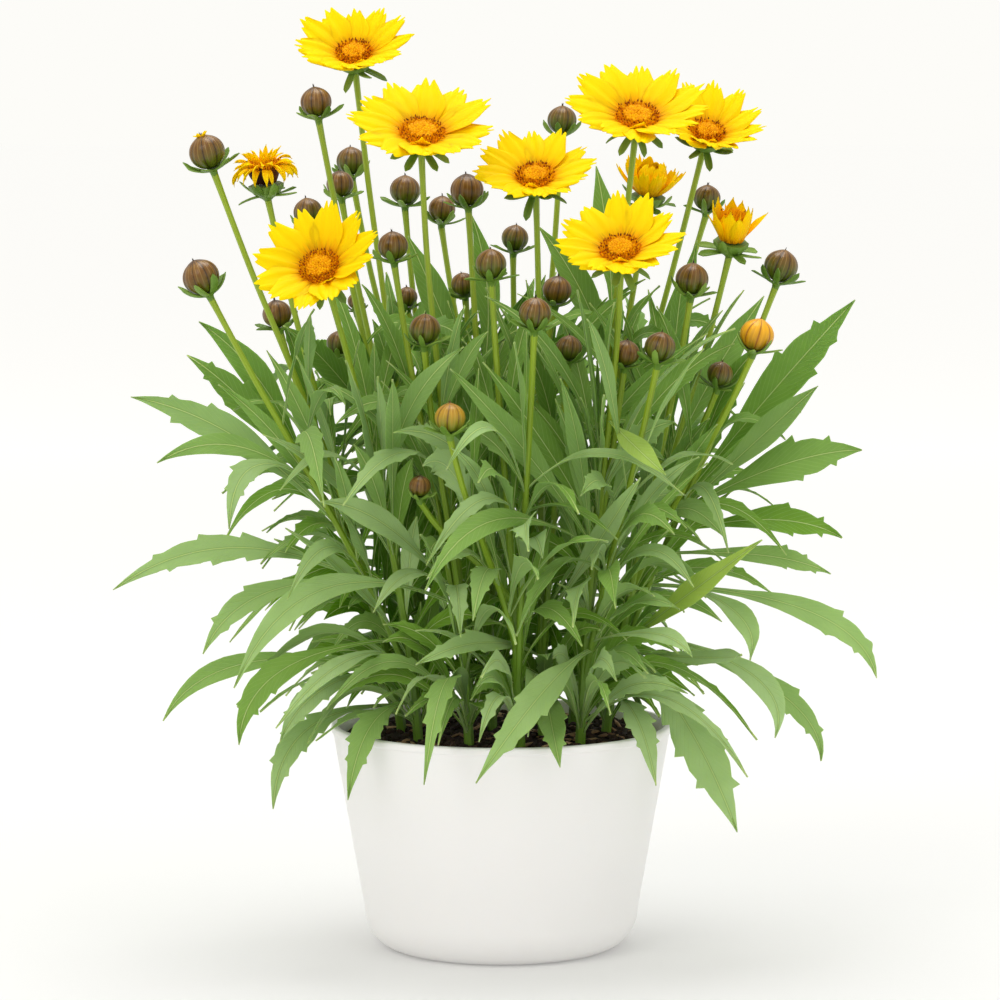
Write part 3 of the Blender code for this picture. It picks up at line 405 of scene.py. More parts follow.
# %% Spread the stems
PUSH_ROUNDS = 60
PUSH_SHARE = 0.35  # of the air that two stems lack, for each of them and each round
FAR_APART = 0.11  # metres between the starts of two stretches that can't come near each other


def segment_gap(p, q, r, s):
    """The two nearest points of segments pq and rs."""
    d1, d2, w = q - p, s - r, p - r
    a, b, c = d1.dot(d1), d1.dot(d2), d2.dot(d2)
    d, e = d1.dot(w), d2.dot(w)
    under = a * c - b * b
    t = min(1, max(0, (b * e - c * d) / under)) if under > 1e-12 else 0.0
    u = min(1, max(0, (b * t + e) / c)) if c > 1e-12 else 0.0
    t = min(1, max(0, (b * u - d) / a)) if a > 1e-12 else 0.0
    return p + d1 * t, r + d2 * u, t, u


def shift(run, index, share, push):
    """Moves the inner points about a place on a run, and leaves its two ends and its straight foot."""
    low = 2 if len(run) > STEM_POINTS else 1
    for point, weight in ((index, 1 - share), (index + 1, share)):
        if low <= point < len(run) - 1:
            run[point] += push * (0.3 + weight)


def spread_stems(shoots):
    """Stems of different shoots push each other apart where they come too near."""
    need = 2 * STEM_TOP_RADIUS + STEM_CLEAR + 0.8 * MM
    runs = [(name, run) for name, stems in shoots.items() for _, run in stems]
    for _ in range(PUSH_ROUNDS):
        worst = need
        for i, (name, run) in enumerate(runs):
            for other_name, other in runs[i + 1:]:
                if name == other_name:
                    continue
                for a in range(len(run) - 1):
                    for b in range(len(other) - 1):
                        if (run[a] - other[b]).length > FAR_APART:
                            continue
                        one, two, t, u = segment_gap(run[a], run[a + 1], other[b], other[b + 1])
                        apart = (one - two).length
                        if apart >= need:
                            continue
                        worst = min(worst, apart)
                        away = (one - two) / apart if apart > 1e-6 else Vector((0, 1, 0))
                        push = away * (need - apart) * PUSH_SHARE
                        shift(run, a, t, push)
                        shift(other, b, u, -push)
        if worst > need - 0.2 * MM:
            return worst
    return worst


print("least distance between stems:", round(spread_stems(shoots) / MM, 1), "mm")

# %% [markdown]
# ## Leaves
# A leaf starts at a stem and arches over. It keeps clear of everything that already stands in the
# clump, and a leaf that would touch is moved in depth or drawn again. For the large leaves the packed
# model has already made that choice, so each draw is only looked up in it: the leaf whose middle
# line lies in its packed shoot is kept.

# %% A leaf's line and its coarse blade
LEAF_ROWS = {  # for no teeth, one tooth or two: the share of the length and of the half width
    0: [(0, 0.15), (0.24, 0.24), (0.50, 1.0), (0.76, 0.66), (1, 0)],
    1: [(0, 0.15), (0.24, 0.26), (0.44, 0.86), (0.56, 1.14), (0.585, 0.80), (0.80, 0.48), (1, 0)],
    2: [(0, 0.15), (0.22, 0.24), (0.38, 0.98), (0.41, 0.70), (0.57, 1.12), (0.60, 0.78),
        (0.80, 0.46), (1, 0)],
}


class Leaf:
    """A leaf's line, its face, its width and its teeth."""

    def __init__(self, base, middle, tip, facing, width, teeth):
        bend = middle * 2 - (base + tip) / 2
        self.knots = [base, bend, tip]
        self.facing = facing.normalized()
        self.width = width
        self.teeth = teeth

    def at(self, share):
        return bezier(self.knots, share)

    def rows(self):
        return LEAF_ROWS[self.teeth]


def blade_mesh(leaf, thickness):
    """A closed strip of even thickness with the leaf's outline; both faces are split alike."""
    points, faces = [], []
    rows = leaf.rows()
    for share, wide in rows:
        here = leaf.at(share)
        along = (leaf.at(min(1, share + 0.02)) - leaf.at(max(0, share - 0.02))).normalized()
        side = side_of(along, leaf.facing)
        up = side.cross(along).normalized() * thickness / 2
        reach = side * wide * leaf.width / 2
        if wide == 0:
            points += [here + up, here - up]
        else:
            points += [here - reach + up, here + reach + up, here + reach - up, here - reach - up]
    faces += [(0, 1, 2), (0, 2, 3)]
    for row in range(len(rows) - 2):
        a, b = row * 4, row * 4 + 4
        faces += [(a, b, a + 1), (a + 1, b, b + 1), (a + 3, a + 2, b + 3), (a + 2, b + 2, b + 3)]
        faces += [(a + 1, b + 1, b + 2), (a + 1, b + 2, a + 2), (a, a + 3, b + 3), (a, b + 3, b)]
    a = (len(rows) - 2) * 4
    t = a + 4
    faces += [(a, t, a + 1), (a + 3, a + 2, t + 1), (a + 1, t, t + 1), (a + 1, t + 1, a + 2)]
    faces += [(a, a + 3, t + 1), (a, t + 1, t)]
    return points, faces


print("rows of a leaf with no, one and two teeth:", [len(rows) for rows in LEAF_ROWS.values()])

# %% Coarse stems
def tube_mesh(centres, radii, sides):
    """A closed tube through rings of the given radii, with flat ends."""
    points, faces = [], []
    for centre, radius, (one, two) in zip(centres, radii, square_frames(centres)):
        points += [centre + swing(one, two, math.tau * k / sides) * radius for k in range(sides)]
    for ring in range(len(centres) - 1):
        for k in range(sides):
            a, b = ring * sides + k, ring * sides + (k + 1) % sides
            faces += [(a, b, b + sides), (a, b + sides, a + sides)]
    last = (len(centres) - 1) * sides
    for k in range(1, sides - 1):
        faces += [(0, k + 1, k), (last, last + k, last + k + 1)]
    return points, faces


def facing_out(points, faces):
    """The faces, turned round if the closed mesh that they make is inside out."""
    volume = sum(points[a].dot(points[b].cross(points[c])) for a, b, c in faces)
    return faces if volume > 0 else [(a, c, b) for a, b, c in faces]


def stem_mesh(run, main):
    """A stem that tapers from its foot or fork to its head."""
    start = STEM_FOOT_RADIUS if main else STEM_TOP_RADIUS * 1.12
    count = len(run)
    radii = [start + (STEM_TOP_RADIUS - start) * min(1, 1.6 * k / (count - 1)) for k in range(count)]
    way = (run[-1] - run[-2]).normalized()
    return tube_mesh(run[:-1] + [run[-1] + way * 0.9 * MM], radii, STEM_SIDES)


print("faces of the left shoot's main stem:", len(stem_mesh(shoots["left"][0][1], True)[1]))

# %% Coarse cups
def calyx_mesh(head):
    """The green cup at the end of a stem with its outer bracts, which are narrow spikes on its sides."""
    one, two = ring_frame(head.axis)
    seat, axis, depth = head.seat(), head.axis, head.cup_depth()
    if head.flower:
        sides, length, rise = 8, 9.0 * MM, math.radians(4)
        broad = 7.0 * MM if head.kind == "bloom" else 5.6 * MM
        levels = [(-depth, 1.5 * MM), (-depth * 0.45, broad * 0.66), (-GAP, broad)]
    else:
        sides, length, rise = 7, max(5.5 * MM, head.radius * 1.35), math.radians(24)
        levels = [(-depth, 1.5 * MM), (-GAP, max(2.5 * MM, head.radius * 0.46))]
    if head.kind == "green_bud":
        length *= 0.8
        levels += [(head.radius * 0.9, head.radius), (head.radius * 1.6, head.radius * 0.7)]
    points, faces = [], []
    for high, wide in levels:
        foot = seat + axis * high
        points += [foot + swing(one, two, math.tau * k / sides) * wide for k in range(sides)]
    for ring in range(len(levels) - 1):
        for k in range(sides):
            after = (k + 1) % sides
            a, b = ring * sides + k, ring * sides + after
            c, d = b + sides, a + sides
            if ring > 0:
                faces += [(a, b, c), (a, c, d)]
                continue
            out = swing(one, two, math.tau * (k + 0.5) / sides)
            middle = (points[a] + points[b] + points[c] + points[d]) / 4
            peak = len(levels) * sides + k
            faces += [(a, b, peak), (b, c, peak), (c, d, peak), (d, a, peak)]
            points.append(middle + (out * math.cos(rise) + axis * math.sin(rise)) * length)
    last = (len(levels) - 1) * sides
    if head.kind == "green_bud":
        points.append(seat + axis * head.radius * 1.95)
        faces += [(last + k, last + (k + 1) % sides, len(points) - 1) for k in range(sides)]
    else:
        faces += [(last, last + k, last + k + 1) for k in range(1, sides - 1)]
    faces += [(0, k + 1, k) for k in range(1, sides - 1)]
    return points, facing_out(points, faces)


print("faces of a coarse bloom cup:", len(calyx_mesh(heads["bloom_top"])[1]))

# %% What stands in the clump
def boxes_meet(one, two):
    return all(one[0][i] <= two[1][i] and two[0][i] <= one[1][i] for i in range(3))


class Placed:
    """What already stands in the clump, for the test that a new leaf is clear of it."""

    def __init__(self):
        self.items = []

    def add(self, shoot, points, faces):
        low = [min(p[i] for p in points) for i in range(3)]
        high = [max(p[i] for p in points) for i in range(3)]
        self.items.append((shoot, (low, high), BVHTree.FromPolygons(points, faces)))

    def meets(self, shoot, points, faces, own):
        """Whether a mesh crosses anything of other shoots or, where own is set, of its own shoot too."""
        low = [min(p[i] for p in points) for i in range(3)]
        high = [max(p[i] for p in points) for i in range(3)]
        tree = BVHTree.FromPolygons(points, faces)
        for owner, box, other in self.items:
            if owner == shoot and not own:
                continue
            if boxes_meet((low, high), box) and tree.overlap(other):
                return True
        return False


class LeafPart:
    """The outer stretch of a leaf, for the test against its own shoot."""

    def __init__(self, leaf, start):
        self.leaf, self.start = leaf, start
        self.facing, self.width = leaf.facing, leaf.width

    def at(self, share):
        return self.leaf.at(self.start + (1 - self.start) * share)

    def rows(self):
        return [(0, 0.7), (0.35, 1.1), (0.7, 0.7), (1, 0)]


LEAF_AIR = 1.3 * MM  # added to a blade's thickness for the test against other shoots


def leaf_is_clear(leaf, shoot, placed):
    """Whether a leaf clears the pot's rim, the other shoots and, past its foot, its own shoot."""
    whole = blade_mesh(leaf, BLADE + LEAF_AIR)
    for p in whole[0][8:]:
        if p.z < SOIL_TOP + 3 * MM and math.hypot(p.x, p.y) < POT_RIM_RADIUS + 3 * MM:
            return False
    if placed.meets(shoot, *whole, own=False):
        return False
    return not placed.meets(shoot, *blade_mesh(LeafPart(leaf, 0.3), BLADE + 1.0 * MM), own=True)


print("air that a leaf keeps to other shoots:", round(LEAF_AIR / 2 / MM, 2), "mm on each face")

# %% Where a leaf of the view starts, and how it runs
DEPTH_STEP = 7  # millimetres in depth between two tries of a leaf


def nearest_stem(pixel, depth_mm, shoots):
    """The shoot and the stem point whose picture is nearest to a pixel, at about that depth."""
    best = None
    for name, stems in shoots.items():
        for _, run in stems:
            for k in range(3, 34):
                point, _ = smooth_run(run, k / 40)
                if point.z < SOIL_TOP + 6 * MM:
                    continue
                u, v = seen(point)
                cost = math.hypot(u - pixel[0], v - pixel[1]) + 0.35 * abs(point.y / MM - depth_mm)
                if best is None or cost < best[0]:
                    best = (cost, name, point)
    return best[1:]


def seen_leaf(row, shoots, fits):
    """A large leaf of the reference view, moved in depth until it is clear."""
    base_px, middle_px, tip_px, depth, width_px, teeth = row
    shoot, base = nearest_stem(base_px, depth * 0.45, shoots)
    for step in (0, 1, -1, 2, -2, 3, -3, 4, -4, 5, -5, 6):
        tip_depth = depth + DEPTH_STEP * step
        tip = spot(*tip_px, tip_depth)
        middle_depth = (base.y / MM + tip_depth) / 2
        middle = spot(*middle_px, middle_depth)
        along = (tip - base).normalized()
        outward = Vector((middle.x, middle.y, 0)).normalized()
        facing = Vector((0, -0.85, 0.55)) + outward * 0.15
        facing -= along * facing.dot(along)
        leaf = Leaf(base, middle, tip, facing, pixels(width_px, tip_depth), teeth)
        if fits(leaf, shoot):
            return shoot, leaf
    return None


print("the first large leaf starts on shoot", nearest_stem(LEAVES[0][0], LEAVES[0][3] * 0.45, shoots)[0])

# %% How a leaf of the rule runs
def rule_leaf(rng, shoots, fits, number):
    """A leaf of the seeded rule: it grows from a stem, outwards and up, and then arches over."""
    names = list(shoots)
    for _ in range(LEAF_TRIES):
        name = names[number % len(names)] if rng.random() < 0.6 else rng.choice(names)
        stems = shoots[name]
        _, run = stems[rng.randrange(len(stems))] if rng.random() < 0.5 else stems[0]
        share = rng.uniform(0.16, 0.62 if number % 2 else 0.34)
        base, _ = smooth_run(run, share)
        height = (base.z - SOIL_TOP) / MM
        if height < 5 or height > 190:
            continue
        outward = Vector((base.x, base.y + 6 * MM, 0))
        heading = math.atan2(outward.y, outward.x) + rng.gauss(0, 0.75)
        if rng.random() < 0.45:
            heading = rng.uniform(0.1 * math.pi, 0.9 * math.pi)
        out = Vector((math.cos(heading), math.sin(heading), 0))
        low = max(0.0, 1 - height / 120)
        length = rng.uniform(58, 92) * MM * (1 - 0.25 * height / 190)
        climb = math.radians(rng.uniform(18, 48) + 22 * (1 - low))
        tip = base + (out * math.cos(climb) + Vector((0, 0, math.sin(climb)))) * length
        sag = (0.30 + 0.55 * low) * length
        middle = base.lerp(tip, 0.5) + Vector((0, 0, 0.10 * length))
        tip.z -= sag * 0.8
        middle.z -= sag * 0.10
        if tip.z < 52 * MM or math.hypot(tip.x, tip.y) > 172 * MM:
            continue
        facing = Vector((0, 0, 1)) + out * 0.5 + Vector((rng.uniform(-0.6, 0.6), rng.uniform(-0.6, 0.6), 0))
        along = (tip - base).normalized()
        facing -= along * facing.dot(along)
        width = rng.uniform(10, 14.5) * MM
        leaf = Leaf(base, middle, tip, facing, width, rng.choice((0, 0, 1, 1, 2)))
        if fits(leaf, name):
            return name, leaf
    return None


print("the rule draws", FILL_LEAVES, "leaves, with up to", LEAF_TRIES, "tries each")

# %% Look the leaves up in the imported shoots
def node_mesh(node):
    """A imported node's points and triangles."""
    node.data.calc_loop_triangles()
    corners = [v.co.copy() for v in node.data.vertices]
    return corners, [tuple(t.vertices) for t in node.data.loop_triangles]


packed_shoots = {
    name: BVHTree.FromPolygons(*node_mesh(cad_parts["shoot_" + name])) for name in shoots
}


def is_packed(leaf, shoot):
    """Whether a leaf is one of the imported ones: its middle line then lies in its packed shoot."""
    spots = [leaf.at(share) for share, _ in leaf.rows()[1:]]
    return all(packed_shoots[shoot].find_nearest(point)[3] < 0.8 * MM for point in spots)


YOUNG_LEAVES = (21, 34)  # the large leaves that are still pale
leaves = {name: [] for name in shoots}
rng = random.Random(SEED)
found = [seen_leaf(row, shoots, is_packed) for row in LEAVES]
seen_count = sum(pair is not None for pair in found)
young = [found[number][1] for number in YOUNG_LEAVES if found[number]]
found += [rule_leaf(rng, shoots, is_packed, number) for number in range(FILL_LEAVES)]
for shoot, leaf in filter(None, found):
    leaves[shoot].append(leaf)
rule_count = sum(len(group) for group in leaves.values()) - seen_count
packed_leaves = {name: len(group) for name, group in leaves.items()}
print(seen_count, "large leaves and", rule_count, "others:", packed_leaves)

# %% [markdown]
# ## The small leaves inside the clump
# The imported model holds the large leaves. A real clump is full of smaller ones between them, which
# hide the stems' lower half. They follow the same rule with another seed, smaller and lower down, and
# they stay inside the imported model's box.

# %% What the inner leaves keep clear of
placed = Placed()
for name, stems in shoots.items():
    for rank, (head, run) in enumerate(stems):
        placed.add(name, *stem_mesh(run, rank == 0))
        placed.add(name, *calyx_mesh(head))
    for leaf in leaves[name]:
        placed.add(name, *blade_mesh(leaf, BLADE))
for name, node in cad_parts.items():
    if not name.startswith(("shoot_", "soil")):
        placed.add(name, *node_mesh(node))
print("forms to keep clear of:", len(placed.items))

# %% Where an inner leaf may stand
def inside_box(leaf):
    """Whether a leaf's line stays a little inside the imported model's box."""
    edge = 6 * MM
    line = [leaf.at(k / 6) for k in range(1, 7)]
    return all(LOW[i] + edge < p[i] < HIGH[i] - edge for p in line for i in range(3))


head_spots = []  # where each head is seen, how near it is, and how many pixels round it stay free
for head in heads.values():
    free = head.radius / MM * (2.6 if head.flower else 2.9)
    head_spots.append((seen(head.place), head.place.y, free))


def hides_a_head(leaf):
    """Whether a leaf would stand in front of a head, as the viewer sees it."""
    for share in (0.3, 0.45, 0.6, 0.75, 0.9, 1.0):
        point = leaf.at(share)
        u, v = seen(point)
        for (head_u, head_v), head_y, reach in head_spots:
            if point.y < head_y and math.hypot(u - head_u, v - head_v) < reach:
                return True
    return False


print("heads to keep in sight:", len(head_spots))

# %% Add the inner leaves
INNER_LEAVES = 620
HABITS = {  # start on the stem, length in mm, climb in degrees, droop, width in mm, teeth, bow, top in mm
    "upright": ((0.14, 0.66), (56, 112), (50, 80), (0.0, 0.12), (6, 10), (0, 0, 0, 1), 0.05, 165),
    "basal": ((0.02, 0.20), (34, 78), (25, 62), (0.05, 0.45), (6.5, 11.5), (0, 1, 2), 0.13, 190),
    "spreading": ((0.06, 0.58), (34, 78), (2, 50), (0.05, 0.45), (6.5, 11.5), (0, 1, 2), 0.13, 190),
}
HABIT_ORDER = ("upright", "spreading", "upright", "spreading", "basal")


def inner_leaf(rng, number):
    """A leaf from the lower part of a stem: two in five climb, and the others spread and droop."""
    names = list(shoots)
    habit = HABIT_ORDER[number % 5]
    starts, lengths, climbs, droops, widths, teeth, bow, highest = HABITS[habit]
    for _ in range(2 * LEAF_TRIES):
        name = names[rng.randrange(len(names))]
        stems = shoots[name]
        on_branch = rng.random() < 0.6 and habit != "basal"
        _, run = stems[rng.randrange(len(stems))] if on_branch else stems[0]
        base, _ = smooth_run(run, rng.uniform(*starts))
        height = (base.z - SOIL_TOP) / MM
        if not 2 < height < highest:
            continue
        heading = rng.uniform(0, math.tau)
        out = Vector((math.cos(heading), math.sin(heading), 0))
        length = rng.uniform(*lengths) * MM
        climb = math.radians(rng.uniform(*climbs))
        tip = base + (out * math.cos(climb) + Vector((0, 0, math.sin(climb)))) * length
        middle = base.lerp(tip, 0.5) + Vector((0, 0, bow * length))
        tip.z -= rng.uniform(*droops) * length
        tip += out * rng.uniform(0, 0.12) * length
        if tip.z > 0.292 or math.hypot(tip.x, tip.y) > 0.125:
            continue
        if math.hypot(tip.x, tip.y) < POT_RIM_RADIUS + 6 * MM and tip.z < POT_HEIGHT + 3 * MM:
            continue
        facing = Vector((rng.uniform(-0.7, 0.7), -0.45 + rng.uniform(-0.5, 0.5), 0.9)) + out * 0.35
        along = (tip - base).normalized()
        facing -= along * facing.dot(along)
        width = rng.uniform(*widths) * MM
        leaf = Leaf(base, middle, tip, facing, width, rng.choice(teeth))
        if inside_box(leaf) and not hides_a_head(leaf) and leaf_is_clear(leaf, name, placed):
            return name, leaf
    return None


inner_rng = random.Random(SEED + 20)
inner_count = 0
for number in range(INNER_LEAVES):
    found = inner_leaf(inner_rng, number)
    if found:
        shoot, leaf = found
        leaves[shoot].append(leaf)
        placed.add(shoot, *blade_mesh(leaf, BLADE))
        inner_count += 1
print(inner_count, "inner leaves")

# %% [markdown]
# ## Collecting a piece's mesh
# A shoot is thousands of small faces. Each part of it adds its points, its faces, and at each point
# the numbers that the finishes read: two lengths along the surface, a tone of its own (on a leaf it
# also holds painted shade and light), how near it is to the edge, and whether it is the underside.

# %% The collector
MARKS = ("tone", "edge", "under")


class Growth:
    """The mesh of one piece while it grows."""

    def __init__(self):
        self.points, self.marks, self.faces, self.looks = [], [], [], []
        self.count = 0

    def add(self, points, faces, look, across=0.0, along=0.0, tone=0.5, edge=0.0, under=0.0):
        points = np.asarray(points, float).reshape(-1, 3)
        marks = np.zeros((len(points), 5))
        for column, value in enumerate((across, along, tone, edge, under)):
            marks[:, column] = value
        self.points.append(points)
        self.marks.append(marks)
        start = self.count
        self.faces += [tuple(corner + start for corner in face) for face in faces]
        self.looks += [look] * len(faces)
        self.count += len(points)

    def piece(self, name, finishes, slot, nodes=(), sharp=50):
        """Makes the object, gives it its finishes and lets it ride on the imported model."""
        points = np.clip(np.concatenate(self.points), LOW, HIGH)
        marks = np.concatenate(self.marks)
        mesh = bpy.data.meshes.new(name)
        mesh.from_pydata(points.tolist(), [], self.faces)
        corners = np.zeros(len(mesh.loops), int)
        mesh.loops.foreach_get("vertex_index", corners)
        layer = mesh.uv_layers.new(name="surface")
        layer.uv.foreach_set("vector", marks[corners, :2].ravel())
        for column, mark in enumerate(MARKS):
            mesh.attributes.new(mark, "FLOAT", "POINT").data.foreach_set("value", marks[:, 2 + column])
        for finish in finishes:
            mesh.materials.append(finish)
        mesh.polygons.foreach_set("material_index", self.looks)
        mesh.shade_smooth()
        mesh.set_sharp_from_angle(angle=math.radians(sharp))
        made = bpy.data.objects.new(name, mesh)
        bpy.context.scene.collection.objects.link(made)
        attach(made, "root")
        if nodes:
            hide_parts(*nodes)


print("numbers at each point: two lengths,", ", ".join(MARKS))

# %% [markdown]
# ## Thin blades
# Leaves, petals and bracts are all thin blades. Each starts as a grid of points on its middle face,
# which is then given a top, an underside and a rim, so it is a closed solid.

# %% A blade from a grid
def blade_solid(grid, thick):
    """The points and faces of a thin closed solid about a grid of rows and columns."""
    rows, cols = grid.shape[:2]
    normal = np.cross(np.gradient(grid, axis=1), np.gradient(grid, axis=0))
    normal /= np.linalg.norm(normal, axis=2, keepdims=True) + 1e-12
    half = normal * np.asarray(thick)[..., None] / 2 if np.ndim(thick) else normal * thick / 2
    points = np.concatenate([(grid + half).reshape(-1, 3), (grid - half).reshape(-1, 3)])
    total = rows * cols
    index = np.arange(total).reshape(rows, cols)
    a, b, c, d = index[:-1, :-1], index[:-1, 1:], index[1:, 1:], index[1:, :-1]
    top = np.stack([a, b, c, d], -1).reshape(-1, 4)
    low = np.stack([a, d, c, b], -1).reshape(-1, 4) + total
    rim = np.concatenate([index[0, :], index[1:, -1], index[-1, -2::-1], index[-2:0:-1, 0]])
    after = np.roll(rim, -1)
    side = np.stack([after, rim, rim + total, after + total], -1)
    return points, np.concatenate([top, low, side]).tolist()


def both_faces(values):
    """A grid of values, repeated for the underside."""
    return np.concatenate([np.ravel(values), np.ravel(values)])


print("faces of a blade from a grid of 8 by 5:", len(blade_solid(np.zeros((8, 5, 3)), MM)[1]))

# %% A tube from rings
def ring_faces(rings, sides, pointed=False):
    """The faces between rings of points, a flat foot, and a flat top or one that ends in a point."""
    faces = []
    for ring in range(rings - 1):
        for k in range(sides):
            a, b = ring * sides + k, ring * sides + (k + 1) % sides
            faces.append((a, b, b + sides, a + sides))
    foot, last = tuple(range(sides - 1, -1, -1)), (rings - 1) * sides
    if pointed:
        return faces + [(last + k, last + (k + 1) % sides, rings * sides) for k in range(sides)] + [foot]
    return faces + [foot, tuple(range(last, last + sides))]


def tube_solid(centres, radii, sides, ridges=0, ridge=0.0):
    """A closed tube through rings, with lengthwise ridges. Gives points, faces, turn and run."""
    points, turns, runs, run = [], [], [], 0.0
    for i, (one, two) in enumerate(square_frames(centres)):
        run += (centres[i] - centres[i - 1]).length if i else 0.0
        for k in range(sides):
            turn = math.tau * k / sides
            wide = radii[i] * (1 + ridge * math.cos(ridges * turn))
            points.append(centres[i] + swing(one, two, turn) * wide)
            turns.append(k / sides)
            runs.append(run / MM)
    return points, ring_faces(len(centres), sides), turns, runs


print("faces of a tube of 44 rings and 12 sides:", len(ring_faces(44, 12)))

# %% [markdown]
# ## Finishes
# Each finish is a Principled shader whose colour, roughness and bump come from the marks on the mesh
# and from noise in the room's measure. A noise scale counts grains per metre, so 500 gives grains of
# 2 mm and 70 gives clouds of 14 mm. Colours are written as sRGB hex, as a picture shows them.

# %% Colour
def shade(code):
    """An sRGB hex colour as the linear values that a shader wants."""
    parts = [int(code[i:i + 2], 16) / 255 for i in (1, 3, 5)]
    return tuple(v / 12.92 if v <= 0.04045 else ((v + 0.055) / 1.055) ** 2.4 for v in parts) + (1.0,)


print("a mid leaf green in linear values:", [round(v, 3) for v in shade("#84aa46")[:3]])

# %% Add a node, start a finish, paint its colours and wire its shader
def add(tree, kind, inputs=None, out=0, stops=(), **settings):
    """Adds a node with its settings, values, links and colour stops, and returns one of its outputs."""
    node = tree.nodes.new("ShaderNode" + kind)
    for key, value in settings.items():
        setattr(node, key, value)
    for socket, value in (inputs or {}).items():
        if isinstance(value, bpy.types.NodeSocket):
            tree.links.new(value, node.inputs[socket])
        else:
            node.inputs[socket].default_value = value
    for number, (place, code) in enumerate(stops):
        spots = node.color_ramp.elements
        spot = spots[number] if number < 2 else spots.new(place)
        spot.position, spot.color = place, shade(code)
    return node.outputs[out]


def new_finish(name, constants):
    """A new material, its tree and its Principled shader, with the constants of the real stuff."""
    material = bpy.data.materials.new(name)
    material.use_nodes = True
    shader = material.node_tree.nodes["Principled BSDF"]
    for socket, value in constants.items():
        shader.inputs[socket].default_value = value
    return material, material.node_tree, shader


def painted(tree, body, layers):
    """A body colour with others laid over it, each as far as its mask and its share let it."""
    for way, mask, share, code in layers:
        amount = add(tree, "Math", {0: mask, 1: share}, operation="MULTIPLY")
        body = add(tree, "Mix", {0: amount, 6: body, 7: shade(code)}, 2, data_type="RGBA", blend_type=way)
    return body


def wire(tree, shader, sockets):
    for socket, value in sockets.items():
        tree.links.new(value, shader.inputs[socket])


print("marks that a finish can read:", MARKS)

# %% [markdown]
# ### Leaf: fresh leaf blade
# A tickseed leaf is mid green and slightly waxy. Its midrib is paler, fine side veins leave it at a
# sharp angle about every 4 mm, and the underside is paler and duller. Light passes through it, which
# the shader's subsurface gives. Veins are drawn in the blade's own millimetres.

# %% Fresh leaf blade
LEAF_STUFF = {  # a waxy leaf that lets some light through
    "IOR": 1.42, "Specular IOR Level": 0.2,
    "Subsurface Weight": 0.25, "Subsurface Radius": (0.7, 1.0, 0.1), "Subsurface Scale": 0.0012,
}
VEIN_STEP, VEIN_SLANT = 4.2, -2.1  # millimetres between side veins, and how far each runs ahead


def leaf_blade(name, tones, below):
    material, tree, shader = new_finish(name, LEAF_STUFF)
    tone, edge, under = (add(tree, "Attribute", None, "Fac", attribute_name=name) for name in MARKS)
    surface = add(tree, "UVMap", uv_map="surface")
    across = add(tree, "Math", {0: add(tree, "SeparateXYZ", {0: surface}, "X")}, operation="ABSOLUTE")
    along = add(tree, "SeparateXYZ", {0: surface}, "Y")
    room = add(tree, "TexCoord", None, "Object")
    high = add(tree, "MapRange", {0: add(tree, "SeparateXYZ", {0: room}, "Z"), 1: 0.16, 2: 0.27})
    cloud = add(tree, "TexNoise", {"Vector": room, "Scale": 70.0, "Detail": 3.0}, "Fac")
    slant = add(tree, "Math", {0: across, 1: VEIN_SLANT, 2: along}, operation="MULTIPLY_ADD")
    vein = add(tree, "Math", {0: slant, 1: VEIN_STEP}, operation="DIVIDE")
    vein = add(tree, "Math", {0: vein, 1: 0.5}, operation="PINGPONG")
    vein = add(tree, "MapRange", {0: vein, 1: 0.0, 2: 0.10, 3: 1.0, 4: 0.0})
    midrib = add(tree, "MapRange", {0: across, 1: 0.12, 2: 0.34, 3: 1.0, 4: 0.0})
    # painted shade: a darker band along each side of the sunk midrib, in the crease of the fold
    crease_shade = add(tree, "MapRange", {0: across, 1: 0.34, 2: 0.75, 3: 1.0, 4: 0.0})
    rim = add(tree, "MapRange", {0: edge, 1: 0.90, 2: 1.0})
    body = painted(tree, add(tree, "ValToRGB", {0: tone}, stops=tones), [
        ("MIX", high, 0.60, "#789e50"),
        ("MULTIPLY", cloud, 0.55, "#b4c89a"),
        ("MIX", vein, 0.32, "#a4c070"),
        ("MIX", crease_shade, 0.45, "#54801c"),
        ("MIX", midrib, 0.80, "#bcd084"),
        ("MIX", rim, 0.30, "#8fb060"),
        ("MIX", under, 0.45, below),
    ])
    pores = add(tree, "TexNoise", {"Vector": room, "Scale": 900.0, "Detail": 3.0}, "Fac")
    relief = add(tree, "Math", {0: pores, 1: 0.35}, operation="MULTIPLY")
    relief = add(tree, "Math", {0: relief, 1: vein}, operation="SUBTRACT")
    relief = add(tree, "Math", {0: midrib, 1: -1.5, 2: relief}, operation="MULTIPLY_ADD")
    bump = add(tree, "Bump", {"Height": relief, "Strength": 0.35, "Distance": 0.0004})
    dull = add(tree, "MapRange", {0: under, 3: 0.50, 4: 0.70})
    wire(tree, shader, {"Base Color": body, "Normal": bump, "Roughness": dull})
    return material


# Leaf tones: the dark end is painted shade for inner leaves, the pale end painted light for outer ones.
LEAF_TONES = [(0.0, "#5a8812"), (0.35, "#709c1e"), (0.65, "#84aa46"), (0.85, "#9abb6a"), (1.0, "#b2cc8e")]
LEAF = leaf_blade("fresh_leaf_blade", LEAF_TONES, "#88a468")
YOUNG_LEAF = leaf_blade("young_leaf_blade", [(0.0, "#a0c03c"), (1.0, "#b8d060")], "#b0ca6c")
print("leaf finishes:", LEAF.name, YOUNG_LEAF.name)

# %% [markdown]
# ### Stem and bracts: young green rind
# A young stem is yellow green and ribbed along its length, with about ten fine ribs round it. Its gloss
# is soft. A bract is small, firm and deep green, with a paler edge.

